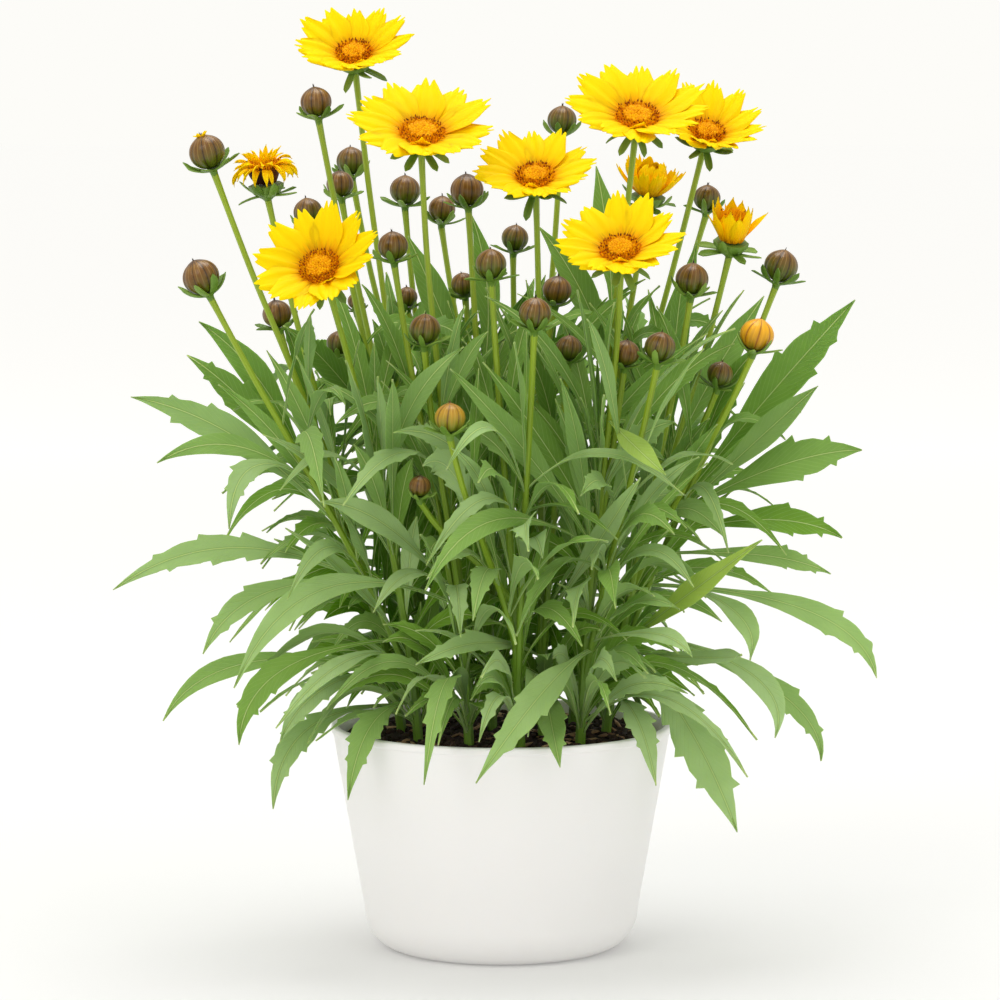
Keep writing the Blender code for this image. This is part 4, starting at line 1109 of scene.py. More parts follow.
# %% Young stem and bracts
def green_stem():
    # The young rind is smooth, so light runs along the ribs as a soft gloss.
    material, tree, shader = new_finish("young_green_stem", {"Roughness": 0.42, "IOR": 1.42})
    tone = add(tree, "Attribute", None, "Fac", attribute_name="tone")
    turn = add(tree, "SeparateXYZ", {0: add(tree, "UVMap", uv_map="surface")}, "X")
    ribs = add(tree, "Math", {0: turn, 1: math.tau * 10}, operation="MULTIPLY")
    ribs = add(tree, "Math", {0: ribs}, operation="SINE")
    ribs = add(tree, "MapRange", {0: ribs, 1: -1.0, 2: 1.0, 3: 0.0, 4: 0.30})
    streaks = add(tree, "Mapping", {"Vector": add(tree, "TexCoord", None, "Object"), "Scale": (1, 1, 0.2)})
    streaks = add(tree, "TexNoise", {"Vector": streaks, "Scale": 160.0, "Detail": 3.0}, "Fac")
    tones = [(0.0, "#6a9224"), (0.4, "#829f1e"), (1.0, "#a4b92c")]
    body = painted(tree, add(tree, "ValToRGB", {0: tone}, stops=tones), [
        ("MIX", ribs, 1.0, "#628a22"),
        ("MULTIPLY", streaks, 0.4, "#cfe0a8"),
    ])
    bump = add(tree, "Bump", {"Height": ribs, "Strength": 0.3, "Distance": 0.0003})
    wire(tree, shader, {"Base Color": body, "Normal": bump})
    return material


def green_bract():
    # A bract is duller than the stem, so it reads as a firm small leaf.
    material, tree, shader = new_finish("green_bract", {"Roughness": 0.5, "IOR": 1.42})
    tone, edge = (add(tree, "Attribute", None, "Fac", attribute_name=name) for name in MARKS[:2])
    room = add(tree, "TexCoord", None, "Object")
    cloud, pores = (
        add(tree, "TexNoise", {"Vector": room, "Scale": s, "Detail": 3.0}, "Fac") for s in (500.0, 1500.0)
    )
    tones = [(0.0, "#44661a"), (0.5, "#648a28"), (1.0, "#90b04a")]
    body = painted(tree, add(tree, "ValToRGB", {0: tone}, stops=tones), [
        ("MIX", edge, 0.4, "#84a044"),
        ("MULTIPLY", cloud, 0.5, "#b6cc98"),
    ])
    bump = add(tree, "Bump", {"Height": pores, "Strength": 0.2, "Distance": 0.0002})
    wire(tree, shader, {"Base Color": body, "Normal": bump})
    return material


STEM, BRACT = green_stem(), green_bract()
print("green finishes:", STEM.name, BRACT.name)

# %% [markdown]
# ## The fine leaf
# A fine leaf runs on the same curve as its coarse blade. Its outline has the same teeth, drawn as
# lobes that point forward, a little different on each side. The blade folds up slightly from the
# midrib and ripples towards its edge.

# %% Leaf outlines
PLAIN = [  # share of the length and of the half width
    (0, 0.15), (0.12, 0.15), (0.24, 0.27), (0.36, 0.62), (0.48, 0.92),
    (0.56, 0.98), (0.66, 0.90), (0.78, 0.62), (0.90, 0.27), (1, 0.012),
]
TOOTH_PLACES = {0: (), 1: (0.60, 0.80), 2: (0.44, 0.61, 0.78)}


def outline_of(teeth, slip, rng):
    """One side's outline as shares and widths: a smooth edge with small teeth that point forward."""
    knots = [s for s, _ in PLAIN]
    wide = [w for _, w in PLAIN]
    rows = {share: float(np.interp(share, knots, wide)) for share in np.linspace(0, 1, 17)}
    for place in TOOTH_PLACES[teeth]:
        tip = place + slip + rng.uniform(-0.03, 0.03)
        size = rng.uniform(0.16, 0.30)
        width = float(np.interp(tip, knots, wide))
        rows = {share: w for share, w in rows.items() if not tip - 0.085 < share < tip + 0.05}
        rows[tip - 0.085] = float(np.interp(tip - 0.085, knots, wide))
        rows[tip - 0.035] = width + size * 0.22
        rows[tip] = width + size
        rows[tip + 0.012] = width * 0.86
        rows[tip + 0.045] = float(np.interp(tip + 0.045, knots, wide)) * 0.93
    shares = sorted(rows)
    return shares, [rows[share] for share in shares]


print("points on one side of a leaf with two teeth:", len(outline_of(2, 0.0, random.Random(1))[0]))

# %% Leaf blades
COLUMNS = np.array([-1, -0.86, -0.5, -0.14, 0, 0.14, 0.5, 0.86, 1])


def grow_blade(growth, leaf, rng, fine=True, look=1):
    """Adds a leaf's blade, with its teeth, fold, ripples and midrib."""
    slips = rng.uniform(-0.03, 0.03), rng.uniform(-0.03, 0.03)
    sides = [outline_of(leaf.teeth, slip, rng) for slip in slips]
    marks = sorted(set(sides[0][0] + sides[1][0]))
    shares = [marks[0]]
    for share in marks[1:]:
        if share - shares[-1] > (0.009 if fine else 0.02):
            shares.append(share)
    shares[-1] = 1.0
    columns = COLUMNS if fine else COLUMNS[[0, 2, 3, 4, 5, 6, 8]]
    grid = np.zeros((len(shares), len(columns), 3))
    reach = np.zeros((len(shares), len(columns)))
    fold, wave, phase = rng.uniform(0.10, 0.30), rng.uniform(0.2, 0.9) * MM, rng.uniform(0, math.tau)
    twist = math.radians(rng.uniform(-14, 14))
    length, last = 0.0, leaf.at(0)
    lengths = []
    for r, share in enumerate(shares):
        here = leaf.at(share)
        length += (here - last).length
        last = here
        lengths.append(length / MM)
        along = (leaf.at(min(1, share + 0.02)) - leaf.at(max(0, share - 0.02))).normalized()
        side = side_of(along, leaf.facing)
        up = side.cross(along).normalized()
        turn = twist * share * share
        side, up = side * math.cos(turn) + up * math.sin(turn), up * math.cos(turn) - side * math.sin(turn)
        for c, column in enumerate(columns):
            wide = np.interp(share, *sides[0 if column < 0 else 1]) * leaf.width / 2
            out = column * wide
            ripple = math.sin(phase + share * 15 + (1.3 if column > 0 else 0))
            lift = abs(out) * fold + wave * column * column * ripple
            sweep = along * (0.16 * wide * abs(column) ** 3 * min(1, share * 3))
            grid[r, c] = here + side * out + up * (lift * min(1, share * 4)) + sweep
            reach[r, c] = out / MM
    thick = np.where(np.abs(columns) < 0.1, 0.9, np.where(np.abs(columns) > 0.95, 0.22, 0.42)) * MM
    points, faces = blade_solid(grid, np.tile(thick, (len(shares), 1)))
    tone = min(1, max(0, rng.gauss(leaf.tone, 0.14)))
    under = np.repeat([0.0, 1.0], reach.size)
    run = both_faces(np.tile(lengths, (len(columns), 1)).T)
    edge = both_faces(np.tile(np.abs(columns), (len(shares), 1)))
    growth.add(points, faces, look, both_faces(reach), run, tone, edge, under)


print("columns of a large and of a small leaf:", len(COLUMNS), len(COLUMNS[[0, 2, 3, 4, 5, 6, 8]]))

# %% [markdown]
# ## Stems, cups and bracts
# A stem is a ribbed tube that widens into the cup of its head. Round the cup stands a ring of narrow
# outer bracts. Under a bud some bracts stand up beside it and others spread, and under an open bloom
# they hang out and down.

# %% Stems and their hairs
HAIRS = 90  # on each stem


def grow_stem(growth, run, main, rng):
    count = 44 if main else 34
    centres = [smooth_run(run, k / (count - 1))[0] for k in range(count)]
    start = STEM_FOOT_RADIUS * 0.94 if main else STEM_TOP_RADIUS * 1.05
    radii = []
    for k in range(count):
        share = k / (count - 1)
        wide = start + (STEM_TOP_RADIUS * 0.90 - start) * min(1, 1.6 * share)
        radii.append(wide * (1 + 0.22 * max(0, share - 0.93) / 0.07))
    points, faces, turns, runs = tube_solid(centres, radii, 12, 6, 0.05)
    heights = np.array([p.z for p in points])
    tone = np.clip((heights - 0.11) / 0.16, 0.05, 0.95) * rng.uniform(0.8, 1.05)
    growth.add(points, faces, 0, turns, runs, tone)


def grow_hairs(growth, run, rng):
    """Short stiff hairs on a stem, each a slim spike of three sides."""
    for _ in range(HAIRS):
        root, way = smooth_run(run, rng.uniform(0.12, 0.97))
        out = swing(*ring_frame(way), rng.uniform(0, math.tau))
        out = (out + way * rng.uniform(-0.2, 0.5)).normalized()
        across, wide = out.cross(way).normalized(), 0.05 * MM
        foot = root + out * STEM_TOP_RADIUS * 0.7
        tip = foot + out * rng.uniform(1.0, 1.9) * MM
        points = [foot + across * wide, foot - across * wide, foot + way * wide, tip]
        growth.add(points, [(0, 2, 1), (0, 1, 3), (1, 2, 3), (2, 0, 3)], 0, 0, 0, 0.9)


print("hairs on the stems:", HAIRS * sum(len(stems) for stems in shoots.values()))

# %% Bracts
def grow_bract(growth, root, out, axis, length, width, start_rise, end_rise, tone, twist):
    """One narrow bract that leaves its cup along out and bends to its end."""
    rows = 8
    across = axis.cross(out)
    spine, place = [], root.copy()
    for r in range(rows):
        share = r / (rows - 1)
        spine.append(place.copy())
        rise = start_rise + (end_rise - start_rise) * share
        place += (out * math.cos(rise) + axis * math.sin(rise)) * length / (rows - 1)
    columns = np.array([-1.0, -0.5, 0, 0.5, 1.0])
    grid = np.zeros((rows, 5, 3))
    for r, point in enumerate(spine):
        share = r / (rows - 1)
        wide = width / 2 * (0.80 + 0.45 * share) * math.sqrt(max(0, 1 - share ** 4)) + 0.08 * MM
        rise = start_rise + (end_rise - start_rise) * share
        up = axis * math.cos(rise) - out * math.sin(rise)
        side = across * math.cos(twist * share) + up * math.sin(twist * share)
        up = up * math.cos(twist * share) - across * math.sin(twist * share)
        for c, column in enumerate(columns):
            grid[r, c] = point + side * column * wide + up * (0.28 * wide * column * column)
    points, faces = blade_solid(grid, 0.5 * MM)
    edges = both_faces(np.tile(np.abs(columns), (rows, 1)))
    growth.add(points, faces, 2, both_faces(np.tile(columns, (rows, 1))), 0, tone, edges)


def bract_habit(head, out, rng):
    """Where a bract of a head starts, its length, its width, and how it rises at its foot and its tip."""
    seat, axis, depth = head.seat(), head.axis, head.cup_depth()
    if head.flower:
        root = seat - axis * depth * 0.80 + out * 3.4 * MM
        droop = rng.random() < 0.45
        start = math.radians(rng.uniform(-16, -4) if droop else rng.uniform(-6, 12))
        end = math.radians(rng.uniform(-50, -10) if droop else rng.uniform(10, 60))
        if head.kind != "bloom":
            start, end = start + math.radians(14), end + math.radians(30)
        return root, rng.uniform(10.5, 12.5) * MM, 3.3 * MM, start, end
    root = seat - axis * depth * 0.45 + out * 1.1 * MM
    high = rng.random() < 0.55
    start = math.radians(rng.uniform(4, 20))
    end = math.radians(rng.uniform(62, 86) if high else rng.uniform(8, 48))
    length = max(6 * MM, head.radius * rng.uniform(1.50, 1.80))
    if head.kind == "green_bud":
        length *= 0.85
    return root, length, max(1.6 * MM, head.radius * 0.40), start, end


FLOWER_BRACTS, BUD_BRACTS = 8, 7
print("outer bracts:", FLOWER_BRACTS, "under a flower and", BUD_BRACTS, "round a bud")

# %% Cups
def grow_calyx(growth, head, rng):
    """The cup and the outer bracts of a head."""
    one, two = ring_frame(head.axis)
    seat, axis, depth = head.seat(), head.axis, head.cup_depth()
    sides = 24
    if head.flower:
        broad = 8.2 * MM if head.kind == "bloom" else 7.4 * MM
        levels = [
            (-depth - 1 * MM, 1.45 * MM), (-depth * 0.98, 2.5 * MM), (-depth * 0.86, broad * 0.52),
            (-depth * 0.6, broad * 0.80), (-depth * 0.3, broad * 0.97), (-GAP, broad),
        ]
    else:
        top = max(2.5 * MM, head.radius * 0.52)
        levels = [(-depth - 1 * MM, 1.40 * MM), (-depth * 0.6, 1.75 * MM), (-GAP, top)]
    points, turns = [], []
    for high, wide in levels:
        for k in range(sides):
            turn = math.tau * k / sides
            ribbed = wide * (1 + (0.05 if high > -depth * 0.5 else 0) * math.cos(8 * turn))
            points.append(seat + axis * high + swing(one, two, turn) * ribbed)
            turns.append(k / sides)
    faces = ring_faces(len(levels), sides)
    growth.add(points, faces, 2, turns, 0, rng.uniform(0.35, 0.7), 0.3)
    count = FLOWER_BRACTS if head.flower else BUD_BRACTS
    for k in range(count):
        out = swing(one, two, math.tau * (k + 0.5) / count + rng.uniform(-0.12, 0.12))
        root, length, width, start, end = bract_habit(head, out, rng)
        tone, twist = rng.uniform(0.2, 0.95), rng.uniform(-0.8, 0.8)
        grow_bract(growth, root, out, axis, length, width, start, end, tone, twist)


print("bracts in all:", sum(FLOWER_BRACTS if head.flower else BUD_BRACTS for head in heads.values()))

# %% [markdown]
# ## Buds
# A closed bud is a ball of eight inner bracts that meet in a dark point. Thin dark seams run between
# them. Each is olive green low down and brown above, paler just under its top as a painted highlight,
# with paler lengthwise streaks and a soft gloss.

# %% Bud finish
def bud_skin(name, stops, seam_code, light_code, roughness):
    """The skin of eight inner bracts. Turn counts the bracts, and high runs from foot to top."""
    material, tree, shader = new_finish(name, {"Roughness": roughness, "IOR": 1.45})
    tone = add(tree, "Attribute", None, "Fac", attribute_name="tone")
    surface = add(tree, "UVMap", uv_map="surface")
    turn, high = (add(tree, "SeparateXYZ", {0: surface}, axis) for axis in "XY")
    lengthwise = {
        0: add(tree, "Math", {0: turn, 1: 4.0}, operation="MULTIPLY"),
        1: add(tree, "Math", {0: high, 1: 0.8}, operation="MULTIPLY"),
        2: tone,
    }
    threads = add(tree, "CombineXYZ", lengthwise)
    thread = add(tree, "TexNoise", {"Vector": threads, "Scale": 1.6, "Detail": 3.0}, "Fac")
    uneven = add(tree, "Math", {0: thread, 1: 0.5}, operation="SUBTRACT")
    level = add(tree, "Math", {0: uneven, 1: 0.4, 2: high}, operation="MULTIPLY_ADD")
    ripe = add(tree, "Math", {0: tone, 1: 0.5}, operation="SUBTRACT")
    level = add(tree, "Math", {0: ripe, 1: -0.30, 2: level}, operation="MULTIPLY_ADD")
    line = add(tree, "Math", {0: turn, 1: 3.0}, operation="MULTIPLY")
    line = add(tree, "Math", {0: thread, 1: 0.25, 2: line}, operation="MULTIPLY_ADD")
    line = add(tree, "Math", {0: line, 1: 0.5}, operation="PINGPONG")
    line = add(tree, "MapRange", {0: line, 1: 0.0, 2: 0.16, 3: 1.0, 4: 0.0})
    climb = add(tree, "MapRange", {0: high, 1: 0.25, 2: 0.75, 3: 0.05, 4: 0.50})
    streak = add(tree, "Math", {0: line, 1: climb}, operation="MULTIPLY")
    seam = add(tree, "Math", {0: turn, 1: 0.5}, operation="PINGPONG")
    seam = add(tree, "MapRange", {0: seam, 1: 0.0, 2: 0.12, 3: 1.0, 4: 0.0})
    body = painted(tree, add(tree, "ValToRGB", {0: level}, stops=stops), [
        ("MIX", streak, 1.0, light_code),
        ("MIX", seam, 0.95, seam_code),
    ])
    bump = add(tree, "Bump", {"Height": thread, "Strength": 0.25, "Distance": 0.0003})
    wire(tree, shader, {"Base Color": body, "Normal": bump})
    return material


# In the brown bud's ramp the pale stop at 0.88, just under the dark point, is a painted highlight.
BUD_TONES = {
    "brown_bud_bract": ["#3e520a", "#545e0c", "#66500e", "#704a18", "#86602c", "#4c2c10"],
    "yellow_bud_petal": ["#6e6a10", "#c08a08", "#f0ac04", "#e89c08", "#a05c08"],
    "lime_bud_bract": ["#54701a", "#86861c", "#b48a20", "#a87424", "#6c4418"],
}
BUD_LEVELS = {
    "brown_bud_bract": [0.0, 0.30, 0.48, 0.68, 0.88, 1.0],
    "yellow_bud_petal": [0.0, 0.25, 0.6, 0.9, 1.0],
    "lime_bud_bract": [0.0, 0.3, 0.6, 0.9, 1.0],
}
BUD_SEAMS = {
    "brown_bud_bract": ("#2c1a08", "#bc9c58", 0.31),
    "yellow_bud_petal": ("#8a4a08", "#fcc820", 0.42),
    "lime_bud_bract": ("#5c3c14", "#dcb850", 0.38),
}
BROWN_BUD, YELLOW_BUD, LIME_BUD = (
    bud_skin(name, list(zip(BUD_LEVELS[name], codes)), *BUD_SEAMS[name]) for name, codes in BUD_TONES.items()
)
print("bud finishes:", BROWN_BUD.name, YELLOW_BUD.name, LIME_BUD.name)

# %% A small floret
def floret_solid(root, way, height, radii, sides=6):
    """A small tube floret with rings at even heights and a pointed top."""
    one, two = ring_frame(way)
    points = []
    for ring, wide in enumerate(radii):
        foot = root + way * height * ring / len(radii)
        points += [foot + swing(one, two, math.tau * k / sides) * wide for k in range(sides)]
    points.append(root + way * height)
    return points, ring_faces(len(radii), sides, pointed=True)


print("faces of a floret:", len(ring_faces(3, 6, pointed=True)))

# %% One bud
TUFT = (0.3 * MM, 0.26 * MM, 0.16 * MM)  # the radii of a spike in a bud's dark point


def grow_bud(growth, head, rng, look=0):
    """A ball with eight seams that meet at its top, and the dark point there."""
    one, two = ring_frame(head.axis)
    sides, rings, segments = 64, 20, 8
    radius = head.radius
    points, turns, highs = [], [], []
    spin = rng.uniform(0, math.tau)
    for ring in range(rings + 1):
        level = math.pi * (0.04 + 0.955 * ring / rings)
        for k in range(sides):
            turn = math.tau * k / sides
            place = k / sides * segments
            seam = min(place % 1, 1 - place % 1)
            dent = 1 - 0.045 * math.exp(-(seam / 0.11) ** 2) + 0.018 * (place % 1)
            wide = radius * dent * math.sin(level)
            turned = turn + spin + 0.25 * (ring / rings) ** 2
            high = -math.cos(level) * radius * 0.94
            high += 0.06 * radius * max(0, ring / rings - 0.86) / 0.14
            points.append(head.place + swing(one, two, turned) * wide + head.axis * high)
            turns.append(place)
            highs.append(ring / rings)
    tone = rng.random()
    growth.add(points, ring_faces(rings + 1, sides), look, turns, highs, tone)
    for _ in range(3):
        way = (head.axis + one * rng.uniform(-0.3, 0.3) + two * rng.uniform(-0.3, 0.3)).normalized()
        foot, tall = head.place + head.axis * radius * 0.90, radius * rng.uniform(0.2, 0.34)
        growth.add(*floret_solid(foot, way, tall, TUFT, 5), look, 0, 1.0, tone)


print("the bud's bracts meet in a point of 3 spikes,", round(TUFT[0] / MM, 1), "mm thick")

# %% Make the twelve shoots
def painted_light_tone(leaf):
    """Painted shade and light: low inner leaves get a darker tone, as if in shade, and the ones that reach
    out to the light a paler tone.
    """
    tip = leaf.at(1)
    return 0.26 + 0.34 * min(1, math.hypot(tip.x, tip.y) / 0.15) + 0.40 * min(1, max(0, -tip.y / 0.06))


total_faces = 0
for number, (name, stems) in enumerate(shoots.items()):
    rng = random.Random(SEED * 100 + number)
    growth = Growth()
    for rank, (head, run) in enumerate(stems):
        grow_stem(growth, run, rank == 0, rng)
        grow_calyx(growth, head, rng)
        grow_hairs(growth, run, rng)
        if head.kind == "green_bud":
            grow_bud(growth, head, rng, 3)
    for place, leaf in enumerate(leaves[name]):
        # the leaf's tone holds painted shade and light, by how far out and forward its tip reaches
        leaf.tone = painted_light_tone(leaf)
        grow_blade(growth, leaf, rng, place < packed_leaves[name], 4 if leaf in young else 1)
    growth.piece("shoot_" + name, [STEM, LEAF, BRACT, BROWN_BUD, YOUNG_LEAF], "leaf_green", ["shoot_" + name])
    total_faces += len(growth.faces)
print("shoots:", len(shoots), "with", total_faces, "faces")

# %% [markdown]
# ## Petals
# A ray petal is a wedge that widens from the disc and ends in a few teeth. It has shallow lengthwise
# folds. Each one overlaps the next like the blades of a fan, so one side of each lies a little higher.
# The finish goes from orange with red brown streaks at the disc to clear yellow.

# %% Petal finish
PETAL_STUFF = {  # a thin velvety petal: dull, and it lets warm light through
    "Roughness": 0.55, "IOR": 1.40, "Specular IOR Level": 0.08,
    "Subsurface Weight": 0.35, "Subsurface Radius": (1.0, 0.7, 0.05), "Subsurface Scale": 0.002,
}


def ray_petal(name, stops, streak):
    material, tree, shader = new_finish(name, PETAL_STUFF)
    tone = add(tree, "Attribute", None, "Fac", attribute_name="tone")
    surface = add(tree, "UVMap", uv_map="surface")
    across, along = (add(tree, "SeparateXYZ", {0: surface}, axis) for axis in "XY")
    lengthwise = {
        0: add(tree, "Math", {0: across, 1: 5.0}, operation="MULTIPLY"),
        1: add(tree, "Math", {0: along, 1: 0.7}, operation="MULTIPLY"),
        2: tone,
    }
    threads = add(tree, "CombineXYZ", lengthwise)
    thread = add(tree, "TexNoise", {"Vector": threads, "Scale": 3.2, "Detail": 2.0}, "Fac")
    uneven = add(tree, "Math", {0: thread, 1: 0.5}, operation="SUBTRACT")
    shifted = add(tree, "Math", {0: uneven, 1: 0.35, 2: along}, operation="MULTIPLY_ADD")
    near = add(tree, "MapRange", {0: along, 1: 0.10, 2: 0.34, 3: 1.0, 4: 0.0})
    dark = add(tree, "MapRange", {0: thread, 1: 0.50, 2: 0.62})
    marked = add(tree, "Math", {0: near, 1: dark}, operation="MULTIPLY")
    body = painted(tree, add(tree, "ValToRGB", {0: shifted}, stops=stops), [
        ("MULTIPLY", thread, 0.30, "#fcd898"),
        ("MIX", marked, 0.85, streak),
    ])
    groove = add(tree, "Math", {0: across, 1: math.tau * 5}, operation="MULTIPLY")
    groove = add(tree, "Math", {0: groove}, operation="SINE")
    relief = add(tree, "Math", {0: groove, 1: 0.5, 2: thread}, operation="MULTIPLY_ADD")
    bump = add(tree, "Bump", {"Height": relief, "Strength": 0.30, "Distance": 0.0004})
    wire(tree, shader, {"Base Color": body, "Normal": bump})
    return material


YELLOW_STOPS = [(0.0, "#cc7400"), (0.16, "#f6ac00"), (0.32, "#fecb00"), (0.7, "#fed400"), (1.0, "#ffdb00")]
ORANGE_STOPS = [(0.0, "#e09200"), (0.2, "#fcb400"), (0.6, "#ffc800"), (1.0, "#ffd800")]
YELLOW = ray_petal("yellow_ray_petal", YELLOW_STOPS, "#8c3408")
ORANGE = ray_petal("orange_young_petal", ORANGE_STOPS, "#a34a08")
print("petal finishes:", YELLOW.name, ORANGE.name)

# %% Floret, anther and dry bract finishes
def floret(name, codes, roughness):
    """Small parts of a disc: each has its own tone, and noise breaks it up."""
    # Florets are dusted with pollen: almost no gloss, and a fine grain.
    constants = {"Roughness": roughness, "IOR": 1.42, "Specular IOR Level": 0.12}
    material, tree, shader = new_finish(name, constants)
    tone = add(tree, "Attribute", None, "Fac", attribute_name="tone")
    room = add(tree, "TexCoord", None, "Object")
    cloud, pores = (
        add(tree, "TexNoise", {"Vector": room, "Scale": s, "Detail": 3.0}, "Fac") for s in (700.0, 2200.0)
    )
    tones = add(tree, "ValToRGB", {0: tone}, stops=list(zip((0.0, 0.5, 1.0), codes)))
    body = painted(tree, tones, [("MULTIPLY", cloud, 0.6, "#d8b070")])
    bump = add(tree, "Bump", {"Height": pores, "Strength": 0.4, "Distance": 0.0002})
    wire(tree, shader, {"Base Color": body, "Normal": bump})
    return material


FLORET = floret("orange_disc_floret", ("#dc9000", "#f6b000", "#ffcc00"), 0.6)
ANTHER = floret("brown_anther", ("#64240a", "#90400a", "#b8640c"), 0.5)
DRY = floret("dry_inner_bract", ("#2e150c", "#4a2414", "#6b3a1e"), 0.5)
print("disc finishes:", FLORET.name, ANTHER.name, DRY.name)

# %% One petal
def petal_grid(length, width, start, rise, teeth, rng, rows=16, cols=21,
               lap=1.0, arch=0.0, narrow=0.40, depth=0.14):
    """A petal's grid in its own space: x across, y outwards from the head's middle, z up."""
    grid = np.zeros((rows, cols, 3))
    lean, sway = rng.uniform(-0.06, 0.06), rng.uniform(-0.8, 0.8) * MM
    folds = rng.uniform(0, math.tau)
    deep = [rng.uniform(0.7, 1.25) * depth for _ in range(teeth + 1)]
    for r in range(rows):
        t = (r / (rows - 1)) ** 0.92
        for c in range(cols):
            x = -1 + 2 * c / (cols - 1)
            p = (x + 1) / 2 * teeth
            tooth = abs(2 * (p - math.floor(p)) - 1) if 0 < c < cols - 1 else 1.0
            cut = deep[min(teeth, round(p))] * tooth ** 1.3
            reach = length * (1 - 0.16 * abs(x) ** 2.2 - cut * (0.55 + 0.45 * (1 - abs(x)))) * (1 + lean * x)
            out = start + (reach - start) * t
            swell = math.sin(math.pi / 2 * min(1, t / 0.62)) ** 0.9
            wide = width / 2 * (0.32 + 0.68 * swell) * (1 - narrow * max(0, (t - 0.58) / 0.42) ** 1.6)
            high = (out - start) * math.tan(rise) + arch * math.sin(math.pi * t) * length
            high += lap * x * 0.9 * MM * min(1, 2.5 * t)
            high += 0.36 * MM * math.cos(2 * math.pi * x * 1.25 + folds) * min(1, 3 * t)
            high += sway * t * t * x - 0.5 * MM * x * x * t
            grid[r, c] = (wide * x, out, high)
    return grid


def set_on_head(grid, head, turn, base):
    """Moves a petal's grid on to a head, turned about the head's axis."""
    out = swing(*ring_frame(head.axis), turn)
    to_room = np.array([out.cross(head.axis), out, head.axis])
    return grid @ to_room + np.array(base)


def grow_petal(growth, grid, look, tone, thick=0.34 * MM):
    rows, cols = grid.shape[:2]
    points, faces = blade_solid(grid, thick)
    x = np.tile(np.linspace(0, 1, cols), (rows, 1))
    y = np.tile(np.linspace(0, 1, rows)[:, None], (1, cols))
    growth.add(points, faces, look, both_faces(x), both_faces(y), tone, both_faces(np.abs(2 * x - 1)))


print("petals in the seven blooms:", PETALS * sum(head.kind == "bloom" for head in heads.values()))

# %% [markdown]
# ## The open blooms
# Twelve petals stand round each disc, each a little different in length, width and rise. In front of
# the disc one small petal folds up, as the viewer sees it.

# %% Make the petals of the seven blooms
FRONT = math.pi / 2  # the turn about a head's axis that faces the viewer
petal_faces = 0
for head in heads.values():
    if head.kind != "bloom":
        continue
    rng = random.Random(head.name)
    growth = Growth()
    base = head.seat() + head.axis * (PETAL_BLADE / 2 + GAP + 0.3 * MM)
    rise = math.radians(PETAL_RISE[head.name])
    hub = HUB_SHARE * head.radius
    step = math.tau / PETALS
    for k in range(PETALS):
        turn = step * k
        facing = math.cos(turn - FRONT)
        length = head.radius * rng.uniform(0.96, 1.05) * (1 - 0.10 * max(0, facing))
        width = 2 * head.radius * math.tan(step / 2) * rng.uniform(0.94, 1.08)
        lift = rise + math.radians(rng.uniform(-3, 5) + 5 * max(0, facing) + 4 * max(0, -facing))
        teeth, arch = rng.choice((3, 3, 4, 4)), rng.uniform(0.0, 0.045)
        grid = petal_grid(length, width, hub * 0.62, lift, teeth, rng, arch=arch)
        turn += rng.uniform(-0.03, 0.03)
        while set_on_head(grid, head, turn, base)[..., 2].max() > HIGH[2] - 0.2 * MM:
            grid[..., 1:] *= 0.985
        grow_petal(growth, set_on_head(grid, head, turn, base), 0, rng.random())
    grid = petal_grid(hub * 1.60, hub * 1.15, hub * 0.86, math.radians(52), 1, rng, rows=10, cols=13,
                      lap=0.2, depth=0.3, narrow=0.6)
    grow_petal(growth, set_on_head(grid, head, FRONT + rng.uniform(-0.35, 0.35), base), 0, rng.random())
    growth.piece(head.name + "_petals", [YELLOW], "petal_yellow", [head.name + "_petals"])
    petal_faces += len(growth.faces)
print("petal faces:", petal_faces)

# %% [markdown]
# ## Discs
# The disc is a low dome of tiny tube florets. They open from the rim inwards, so the rim has dark red
# brown anthers that stand up, and the middle is still closed and yellow. The florets sit on a spiral
# with the golden angle between them, which is how the plant packs them.

# %% Florets on a spiral
GOLDEN = math.pi * (3 - math.sqrt(5))
FLORETS = 190  # in a bloom's disc


def grow_disc(growth, head, base, radius, dome, count, rng, open_from=0.62, stretch=1.0):
    """Fills a head's disc with florets: closed inside, open with dark anthers from open_from outwards."""
    one, two = ring_frame(head.axis)
    for k in range(count):
        share = math.sqrt((k + 0.5) / count)
        out = swing(one, two, k * GOLDEN)
        root = base + out * radius * share + head.axis * dome * (1 - share * share)
        if share < open_from:
            way = (head.axis + out * share * 0.4).normalized()
            size = 0.052 * radius * (1 + 0.5 * share) * 1.25
            tall = rng.uniform(1.1, 1.6) * MM * stretch
            tone = rng.uniform(0.3, 1.0) * (0.7 + 0.3 * (1 - share))
            closed = floret_solid(root, way, tall, (size, size * 1.25, size * 0.9))
            growth.add(*closed, 0, 0, 0, tone)
            continue
        way = (head.axis + out * rng.uniform(0.15, 0.6) + one * rng.uniform(-0.2, 0.2)).normalized()
        tall = rng.uniform(1.4, 3.0) * MM * stretch
        size = 0.34 * MM
        tube = floret_solid(root, way, tall, (size * 0.8, size, size * 1.25))
        growth.add(*tube, 0, 0, 0, rng.uniform(0.1, 1.0))
        if rng.random() < 0.62:
            foot, high = root + way * tall * 0.8, rng.uniform(0.7, 1.3) * MM
            anther = floret_solid(foot, way, high, (size * 0.75, size * 0.85, size * 0.6))
            growth.add(*anther, 1, 0, 0, rng.random())


def grow_dome(growth, head, base, radius, dome, look=0, tone=0.1):
    """The solid dome that the florets stand on."""
    centres = [base - head.axis * 0.5 * MM, base]
    centres += [base + head.axis * dome * share for share in (0.5, 0.85, 1.0)]
    radii = [radius * share for share in (0.9, 1.0, 0.74, 0.4, 0.05)]
    points, faces, turns, runs = tube_solid(centres, radii, 24)
    growth.add(points, faces, look, turns, runs, tone)


print("the angle between florets:", round(math.degrees(GOLDEN), 1), "degrees")

